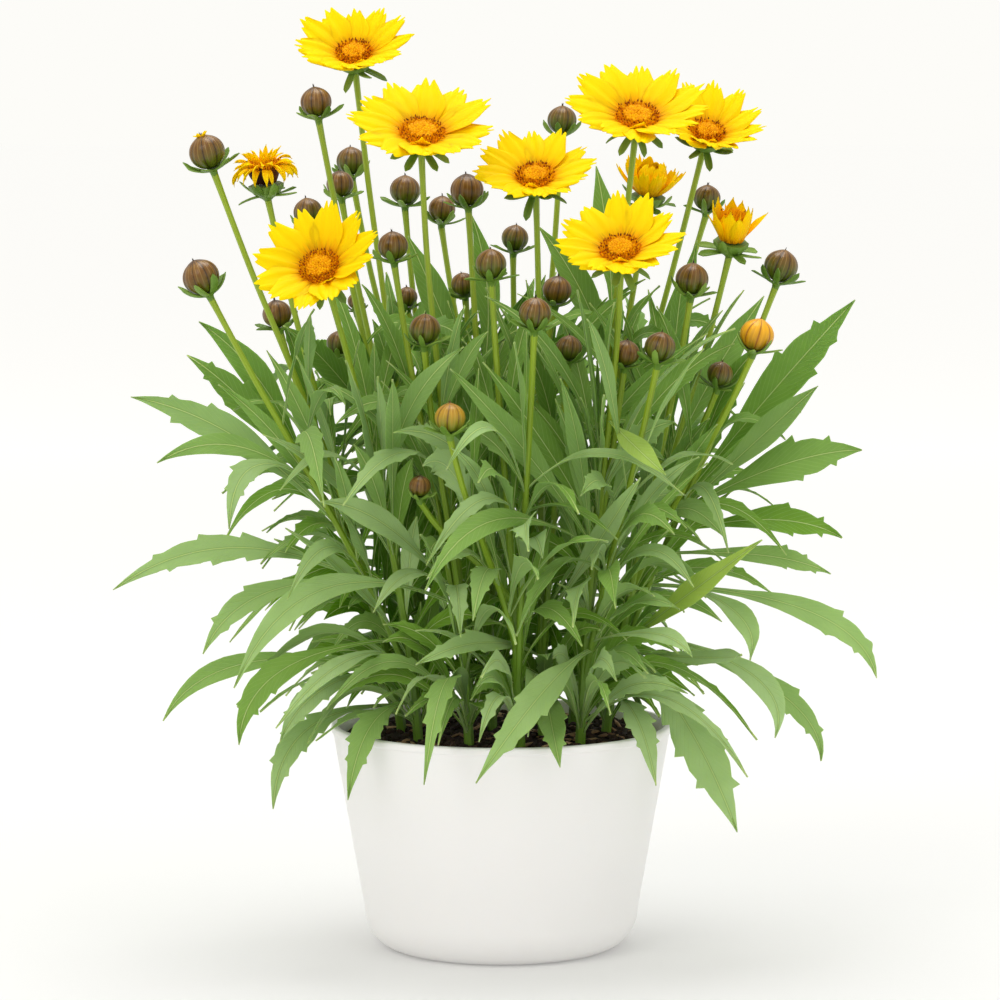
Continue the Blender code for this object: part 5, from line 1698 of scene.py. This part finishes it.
# %% Make the discs of the seven blooms
for head in heads.values():
    if head.kind != "bloom":
        continue
    rng = random.Random(head.name + "disc")
    growth = Growth()
    base = head.seat() + head.axis * (PETAL_BLADE + 2 * GAP + 0.5 * MM)
    radius = DISC_SHARE * head.radius
    grow_dome(growth, head, base, radius * 0.98, 2.6 * MM)
    grow_disc(growth, head, base + head.axis * 0.2 * MM, radius, 2.6 * MM, FLORETS, rng)
    growth.piece(head.name + "_disc", [FLORET, ANTHER], "disc_orange", [head.name + "_disc"])
print("florets a disc:", FLORETS)

# %% [markdown]
# ## The half-open and faded heads
# One head is over: its petals have shrivelled to orange curls above dark dry bracts. Two are opening:
# blunt young petals still stand up round the florets, and on one of them an outer row already spreads.

# %% A ring of cupped petals
def cup_petals(growth, head, base, row, rng):
    """A ring of petals that stand up from the head and curl towards their tips."""
    count, *sizes, rise, curl, look, point, phase, fringe, twist = row
    length, width, start = (size * MM for size in sizes)
    rise, curl = math.radians(rise), math.radians(curl)
    cols, rows = 9, 14
    for k in range(count):
        turn = math.tau * (k + phase) / count + rng.uniform(-0.12, 0.12)
        reach = length * rng.uniform(0.84, 1.10)
        grid = np.zeros((rows, cols, 3))
        angle, out, high = rise + rng.uniform(-0.14, 0.14), start, 0.0
        bend, spin = curl * rng.uniform(0.7, 1.3), twist * rng.uniform(-1, 1)
        for r in range(rows):
            t = r / (rows - 1)
            swell = math.sin(math.pi / 2 * min(1, t / 0.6))
            wide = width / 2 * (0.42 + 0.58 * swell) * (1 - point * max(0, (t - 0.6) / 0.4) ** 2)
            sine, cosine = math.sin(angle), math.cos(angle)
            for c in range(cols):
                x = -1 + 2 * c / (cols - 1)
                ahead = -fringe * reach * t * t * (c % 4) / 4 - 0.10 * reach * x * x * t
                side = wide * x * math.cos(spin * t)
                lift = wide * x * math.sin(spin * t) + 0.30 * wide * x * x
                grid[r, c] = (side, out + ahead * cosine - lift * sine, high + ahead * sine + lift * cosine)
            out += cosine * reach / (rows - 1)
            high += sine * reach / (rows - 1)
            angle += bend / (rows - 1)
        grow_petal(growth, set_on_head(grid, head, turn, base), look, rng.random(), 0.4 * MM)


# Each row of a ring: how many, length, width and start in mm, rise and curl in degrees, look, how
# pointed, phase, fringe and twist. The first number of all is the ring's height above the cup in mm.
RINGS = {
    "faded": [
        (0.0, (9, 8.5, 6.0, 4.6, 58, 30, 1, 0.75, 0.0, 0.0, 0.0)),
        (6.0, (19, 12.8, 2.6, 4.4, 22, -110, 0, 0.75, 0.0, 0.2, 1.8)),
        (6.0, (18, 11.6, 2.4, 3.8, 50, -84, 0, 0.75, 0.5, 0.2, 2.0)),
        (6.0, (13, 10.0, 2.2, 2.8, 76, -40, 0, 0.75, 0.3, 0.2, 2.0)),
    ],
    "opening_back": [
        (0.0, (15, 16.0, 5.0, 5.0, 40, 34, 0, 0.30, 0.0, 0.22, 0.0)),
        (0.0, (11, 15.5, 6.0, 5.0, 54, 66, 0, 0.45, 0.5, 0.0, 0.0)),
        (0.0, (8, 13.5, 4.8, 3.8, 68, 72, 0, 0.45, 0.2, 0.0, 0.0)),
    ],
    "opening_cup": [
        (0.0, (10, 16.2, 6.6, 5.0, 62, 38, 0, 0.95, 0.0, 0.0, 0.0)),
        (0.0, (7, 14.0, 5.6, 4.0, 68, 44, 0, 0.95, 0.5, 0.0, 0.0)),
        (0.0, (2, 15.5, 4.2, 5.0, 54, -6, 0, 0.95, 0.1, 0.0, 0.0)),
    ],
}
BUD_TIPS = (6, 3.4, 1.7, 0.8, 54, -20, 1, 0.75, 0.0, 0.0, 0.0)  # the petal tips of a bud that opens
CORES = {  # dome radius and height; the florets' height, radius, dome, count, opening and stretch
    "faded": (4.9, 8.0, 6.0, 6.5, 3.0, 110, 0.9, 1.8),
    "opening_back": (4.2, 6.0, 7.0, 4.4, 2.6, 80, 0.95, 1.8),
    "opening_cup": (4.2, 8.0, 9.0, 4.6, 2.6, 90, 0.95, 2.1),
}
print("cupped petals:", {name: sum(row[0] for _, row in rings) for name, rings in RINGS.items()})

# %% Make the three heads
rng = random.Random(31)
for name, rings in RINGS.items():
    head, withered = heads[name], name == "faded"
    base = head.seat() + head.axis * (PETAL_BLADE / 2 + GAP)
    growth = Growth()
    for high, row in rings:
        cup_petals(growth, head, base + head.axis * high * MM, row, rng)
    finishes = [ORANGE, DRY] if withered else [ORANGE]
    growth.piece(name + "_petals", finishes, "petal_orange", [name + "_petals"])
    dome_radius, dome_height, high, radius, dome, count, open_from, stretch = CORES[name]
    growth = Growth()
    look, tone = (1, 0.2) if withered else (0, 0.1)
    foot = base + head.axis * 0.8 * MM
    grow_dome(growth, head, foot, dome_radius * MM, dome_height * MM, look, tone)
    top = base + head.axis * high * MM
    grow_disc(growth, head, top, radius * MM, dome * MM, count, rng, open_from, stretch)
    growth.piece(name + "_core", [FLORET, ANTHER], "disc_orange", [name + "_core"])
print("special heads made:", ", ".join(RINGS))

# %% Make the buds
brown = Growth()
brown_names = []
for head in heads.values():
    rng = random.Random(head.name)
    if head.kind == "bud":
        grow_bud(brown, head, rng)
        brown_names.append(head.name)
        if head.name == "bud_02":
            cup_petals(brown, head, head.place + head.axis * head.radius * 0.80, BUD_TIPS, rng)
    elif head.kind in ("yellow_bud", "lime_bud"):
        growth = Growth()
        grow_bud(growth, head, rng)
        yellow = head.kind == "yellow_bud"
        finish, slot = (YELLOW_BUD, "petal_yellow") if yellow else (LIME_BUD, "bud_lime")
        growth.piece(head.name, [finish], slot, [head.name])
brown.piece("brown_buds", [BROWN_BUD, ORANGE], "bud_brown", brown_names)
print("brown buds:", len(brown_names))

# %% [markdown]
# ## The pot
# The pot is a moulded white plastic shell with a satin skin: a straight taper, a rounded foot corner
# and a thin rim. It is turned about its axis from one outline, which is the same as the packed
# pot's, with more steps in its round corners. Moulded plastic shows a very fine grain and slow, soft
# unevenness in its gloss.

# %% Pot finish
def moulded_plastic():
    # Light enters the white a little, and the skin shows one broad, soft highlight.
    constants = {
        "IOR": 1.49,
        "Subsurface Weight": 0.15, "Subsurface Radius": (1.0, 0.9, 0.8), "Subsurface Scale": 0.002,
    }
    material, tree, shader = new_finish("satin_white_moulded_plastic", constants)
    room = add(tree, "TexCoord", None, "Object")
    flow, sheen = (
        add(tree, "TexNoise", {"Vector": room, "Scale": s, "Detail": 3.0}, "Fac") for s in (9.0, 14.0)
    )
    skin = add(tree, "TexNoise", {"Vector": room, "Scale": 1400.0, "Detail": 2.0}, "Fac")
    body = painted(tree, shade("#f5f4f3"), [("MIX", flow, 0.5, "#eeecea")])
    bump = add(tree, "Bump", {"Height": skin, "Strength": 0.06, "Distance": 0.0001})
    rough = add(tree, "MapRange", {0: sheen, 1: 0.3, 2: 0.7, 3: 0.34, 4: 0.46})
    wire(tree, shader, {"Base Color": body, "Normal": bump, "Roughness": rough})
    return material


PLASTIC = moulded_plastic()
print("pot finish:", PLASTIC.name)

# %% The pot's outline
def inner_radius(height):
    """The pot's inner radius at a height on its straight side."""
    share = (height - POT_SIDE_HEIGHT) / (POT_HEIGHT - POT_SIDE_HEIGHT)
    return POT_SIDE_RADIUS - POT_WALL + (POT_RIM_RADIUS - POT_LIP - POT_SIDE_RADIUS) * share


def pot_outline():
    """The pot's outline from the foot's middle, up the outside, over the rim and down the inside."""
    outline = [(0.0, 0.0), (POT_FOOT_RADIUS * 0.6, 0.0), (POT_FOOT_RADIUS, 0.0)]
    for k in range(1, 13):
        turn = math.radians(90) * k / 12
        radius = POT_FOOT_RADIUS + (POT_SIDE_RADIUS - POT_FOOT_RADIUS) * math.sin(turn)
        outline.append((radius, POT_SIDE_HEIGHT * (1 - math.cos(turn))))
    lip_low = POT_HEIGHT - 3.4 * MM
    slope = (POT_RIM_RADIUS - POT_LIP - POT_SIDE_RADIUS) / (lip_low - POT_SIDE_HEIGHT)
    for k in range(1, 6):
        height = POT_SIDE_HEIGHT + (lip_low - POT_SIDE_HEIGHT) * k / 5
        outline.append((POT_SIDE_RADIUS + slope * (height - POT_SIDE_HEIGHT), height))
    outline += [(POT_RIM_RADIUS - POT_LIP * 0.25, lip_low + 0.35 * MM), (POT_RIM_RADIUS, lip_low + 0.9 * MM)]
    rim = 1.1 * MM
    for k in range(7):
        turn = math.radians(90) * k / 6
        outline.append((POT_RIM_RADIUS - rim + rim * math.cos(turn), POT_HEIGHT - rim + rim * math.sin(turn)))
    inner_rim, inner = POT_RIM_RADIUS - POT_WALL, 0.8 * MM
    for k in range(5):
        turn = math.radians(90) * (1 - k / 4)
        radius = inner_rim + inner - inner * math.cos(turn)
        outline.append((radius, POT_HEIGHT - inner + inner * math.sin(turn)))
    for height in (POT_HEIGHT - 4 * MM, POT_SIDE_HEIGHT):
        outline.append((inner_radius(height), height))
    return outline + [(POT_FOOT_RADIUS, POT_WALL), (0.0, POT_WALL)]


print("points in the pot's outline:", len(pot_outline()))

# %% Turn the pot
def level_ring(radius, height, sides):
    """Points on a level ring about the pot's axis."""
    turns = [math.tau * k / sides for k in range(sides)]
    return [(radius * math.cos(turn), radius * math.sin(turn), height) for turn in turns]


def turned(outline, sides):
    """The solid that an outline makes when it is turned about the pot's axis."""
    points, faces, rings = [], [], []
    for radius, height in outline:
        if radius == 0:
            rings.append([len(points)] * sides)
            points.append((0, 0, height))
            continue
        rings.append(list(range(len(points), len(points) + sides)))
        points += level_ring(radius, height, sides)
    for low, high in zip(rings, rings[1:]):
        for k in range(sides):
            after = (k + 1) % sides
            face = [low[k], low[after], high[after], high[k]]
            faces.append(tuple(dict.fromkeys(face)))
    return points, faces


growth = Growth()
growth.add(*turned(pot_outline(), 180), 0)
growth.piece("pot_shell", [PLASTIC], "pot_white", ["pot"], sharp=40)
print("pot faces:", len(growth.faces))

# %% [markdown]
# ## The soil
# Bark compost is dark, uneven and full of crumbs, with paler chips of bark on top. The body fills the
# pot as the packed soil does. Its top is pushed up and down by noise, and crumbs and chips lie on it.

# %% Compost and bark finishes
def compost(name, codes, grain, roughness):
    """Compost and bark are dark and dull, with coarse and fine grain."""
    material, tree, shader = new_finish(name, {"Roughness": roughness})
    tone = add(tree, "Attribute", None, "Fac", attribute_name="tone")
    room = add(tree, "TexCoord", None, "Object")
    coarse, fine = (
        add(tree, "TexNoise", {"Vector": room, "Scale": s, "Detail": 3.0}, "Fac") for s in (grain, grain * 3)
    )
    level = add(tree, "Math", {0: coarse, 1: 0.4}, operation="MULTIPLY")
    level = add(tree, "Math", {0: tone, 1: 0.6, 2: level}, operation="MULTIPLY_ADD")
    body = add(tree, "ValToRGB", {0: level}, stops=list(zip((0.0, 0.5, 1.0), codes)))
    bump = add(tree, "Bump", {"Height": fine, "Strength": 0.7, "Distance": 0.0006})
    wire(tree, shader, {"Base Color": body, "Normal": bump})
    return material


COMPOST = compost("dark_bark_compost", ("#1a100b", "#33211a", "#553a2b"), 380.0, 0.92)
BARK = compost("pale_bark_chip", ("#6a4a34", "#a07a58", "#d0ae8a"), 300.0, 0.85)
print("soil finishes:", COMPOST.name, BARK.name)

# %% Soil body
def soil_height(x, y):
    """The height of the soil's top at a place."""
    far = math.hypot(x, y) / inner_radius(SOIL_TOP)
    bumps = math.sin(x * 260 + 1) * math.cos(y * 310) + 0.6 * math.sin(x * 610 + y * 450)
    bumps += 0.4 * math.cos(x * 990 - y * 820)
    return SOIL_TOP + SOIL_CROWN * (1 - far * far) + bumps * 0.55 * MM - 1.0 * MM


growth = Growth()
rings, sides = 34, 120
edge = inner_radius(SOIL_TOP) - 2 * GAP
points, faces = [(0, 0, soil_height(0, 0))], []
for ring in range(1, rings + 1):
    for k in range(sides):
        turn = math.tau * k / sides
        x, y = edge * ring / rings * math.cos(turn), edge * ring / rings * math.sin(turn)
        points.append((x, y, soil_height(x, y)))
for k in range(sides):
    faces.append((0, 1 + k, 1 + (k + 1) % sides))
for ring in range(rings - 1):
    for k in range(sides):
        a, b = 1 + ring * sides + k, 1 + ring * sides + (k + 1) % sides
        faces.append((a, a + sides, b + sides, b))
low_ring = len(points)
points += level_ring(inner_radius(POT_SIDE_HEIGHT) - 2.5 * GAP, POT_SIDE_HEIGHT + 0.5 * MM, sides)
points += level_ring(POT_FOOT_RADIUS - 1.5 * MM, POT_WALL + GAP, sides)
top_ring = 1 + (rings - 1) * sides
for upper, lower in ((top_ring, low_ring), (low_ring, low_ring + sides)):
    for k in range(sides):
        after = (k + 1) % sides
        faces.append((upper + k, lower + k, lower + after, upper + after))
faces.append(tuple(range(low_ring + 2 * sides - 1, low_ring + sides - 1, -1)))
growth.add(points, faces, 0, 0, 0, 0.25)
print("soil body faces:", len(faces))

# %% A crumb or a chip
def lump(rng, size, flat, long):
    """A small irregular stone-like solid about the origin."""
    turn, tilt = rng.uniform(0, math.tau), rng.gauss(0, 0.35)
    ring_count, around = 3, 6
    points, faces = [], []
    for ring in range(ring_count):
        level = math.pi * (ring + 1) / (ring_count + 1)
        for k in range(around):
            angle = math.tau * k / around
            wobble = rng.uniform(0.7, 1.15)
            x = math.sin(level) * math.cos(angle) * wobble * long
            points.append((x, math.sin(level) * math.sin(angle) * wobble, math.cos(level) * flat * wobble))
    points += [(0, 0, flat), (0, 0, -flat)]
    for ring in range(ring_count - 1):
        for k in range(around):
            a, b = ring * around + k, ring * around + (k + 1) % around
            faces.append((a, a + around, b + around, b))
    for k in range(around):
        after = (k + 1) % around
        faces.append((18, k, after))
        faces.append((19, 12 + after, 12 + k))
    cos_t, sin_t, cos_l, sin_l = math.cos(turn), math.sin(turn), math.cos(tilt), math.sin(tilt)
    turning = np.array([[cos_t, sin_t, 0], [-sin_t, cos_t, 0], [0, 0, 1]])
    tilting = np.array([[cos_l, 0, sin_l], [0, 1, 0], [-sin_l, 0, cos_l]])
    return np.array(points) @ (turning @ tilting) * size, faces


def lay(form, far, turn, raised, look, tone):
    """Lays a lump on the soil, with its middle raised a little above it."""
    points, faces = form
    x, y = far * math.cos(turn), far * math.sin(turn)
    growth.add(points + np.array([x, y, soil_height(x, y) + raised]), faces, look, 0, 0, tone)


print("faces of a lump:", len(lump(random.Random(1), MM, 1.0, 1.0)[1]))

# %% Strew crumbs and bark chips
CRUMBS, CHIPS = 1500, 150
rng = random.Random(5)
for _ in range(CRUMBS):
    far, turn = edge * math.sqrt(rng.random()) * 0.985, rng.uniform(0, math.tau)
    size = rng.uniform(0.7, 2.0) * MM
    crumb = lump(rng, size, rng.uniform(0.5, 0.9), rng.uniform(1, 1.5))
    lay(crumb, min(far, edge - size), turn, size * 0.2, 0, rng.uniform(0.0, 0.9))
for _ in range(CHIPS):
    size = rng.uniform(1.2, 2.8) * MM
    far, turn = (edge - 2.2 * size) * math.sqrt(rng.random()), rng.uniform(0, math.tau)
    lay(lump(rng, size, 0.28, rng.uniform(1.3, 2.0)), far, turn, size * 0.35, 1, rng.random())
growth.piece("soil_and_bark", [COMPOST, BARK], "soil_brown", ["soil"], sharp=35)
print("soil faces:", len(growth.faces))

# %% [markdown]
# ## Floor, light and camera
# A plain warm white floor runs far back and meets a background of the same tone, as a studio sweep
# does. The floor also glows, which is painted light: faintly near the pot and more strongly far back.
# Two large soft lights stand to the left and right in front, and the bright surroundings fill the
# shadows, so only a soft shade is left by the pot's foot.

# %% The sweep
FLOOR_GLOW_NEAR, FLOOR_GLOW_FAR = 0.13, 0.445  # how strongly the sweep glows near the pot and far back: painted light
floor_mesh = bpy.data.meshes.new("floor")
floor_mesh.from_pydata([(-9, -6, 0), (9, -6, 0), (9, 30, 0), (-9, 30, 0)], [], [(0, 1, 2, 3)])
floor = bpy.data.objects.new("floor", floor_mesh)
bpy.context.scene.collection.objects.link(floor)
SWEEP_STUFF = {  # matt white, with a glow of its own that is painted light
    "Base Color": shade("#dcdcdb"), "Emission Color": shade("#fdfcfa"),
    "Roughness": 0.9, "Specular IOR Level": 0.0,
}
sweep, tree, shader = new_finish("matt_white_sweep", SWEEP_STUFF)
spread = add(tree, "VectorMath", {0: add(tree, "TexCoord", None, "Object")}, "Value", operation="LENGTH")
# painted light: the sweep glows little near the pot and more the farther away it is
glow = add(tree, "MapRange", {0: spread, 1: 0.2, 2: 2.6, 3: FLOOR_GLOW_NEAR, 4: FLOOR_GLOW_FAR})
wire(tree, shader, {"Emission Strength": glow})
floor_mesh.materials.append(sweep)
print("sweep finish:", sweep.name)

# %% Lights and surroundings
def soft_light(name, place, size, power, colour):
    """A large soft panel that looks at the clump's middle."""
    data = bpy.data.lights.new(name, "AREA")
    data.shape = "RECTANGLE"
    data.size, data.size_y = size
    data.energy = power
    data.color = shade(colour)[:3]
    light = bpy.data.objects.new(name, data)
    bpy.context.scene.collection.objects.link(light)
    light.location = place
    light.rotation_euler = (Vector((0, 0, 0.2)) - Vector(place)).to_track_quat("-Z", "Y").to_euler()


soft_light("key_panel", (-1.3, -1.9, 1.9), (1.3, 1.3), 14, "#fffdf9")
soft_light("fill_panel", (1.7, -1.7, 1.5), (1.6, 1.6), 6, "#fcfcff")
soft_light("top_panel", (0.0, 0.25, 1.9), (1.1, 1.1), 17, "#ffffff")
world = bpy.data.worlds.new("studio")
bpy.context.scene.world = world
world.use_nodes = True
background = world.node_tree.nodes["Background"]
background.inputs["Color"].default_value = shade("#fdfcf8")
rise = add(world.node_tree, "SeparateXYZ", {0: add(world.node_tree, "TexCoord", None, "Generated")}, "Z")
sky = add(world.node_tree, "MapRange", {0: rise, 1: 0.05, 2: 0.30, 3: 1.0, 4: 0.76})
wire(world.node_tree, background, {"Strength": sky})
bpy.context.scene.view_settings.view_transform = "Standard"
print("lights:", len(bpy.data.lights))

# %% The camera
lens = bpy.data.cameras.new("view")
lens.sensor_width = 36
lens.lens = VIEW_FOCAL * 36 / 1000
camera = bpy.data.objects.new("view", lens)
bpy.context.scene.collection.objects.link(camera)
camera.location = (VIEW_SIDE, -VIEW_DISTANCE, VIEW_HEIGHT)
camera.rotation_euler = (math.radians(90) - VIEW_PITCH, 0, 0)
bpy.context.scene.camera = camera
print("lens:", round(lens.lens, 1), "mm")
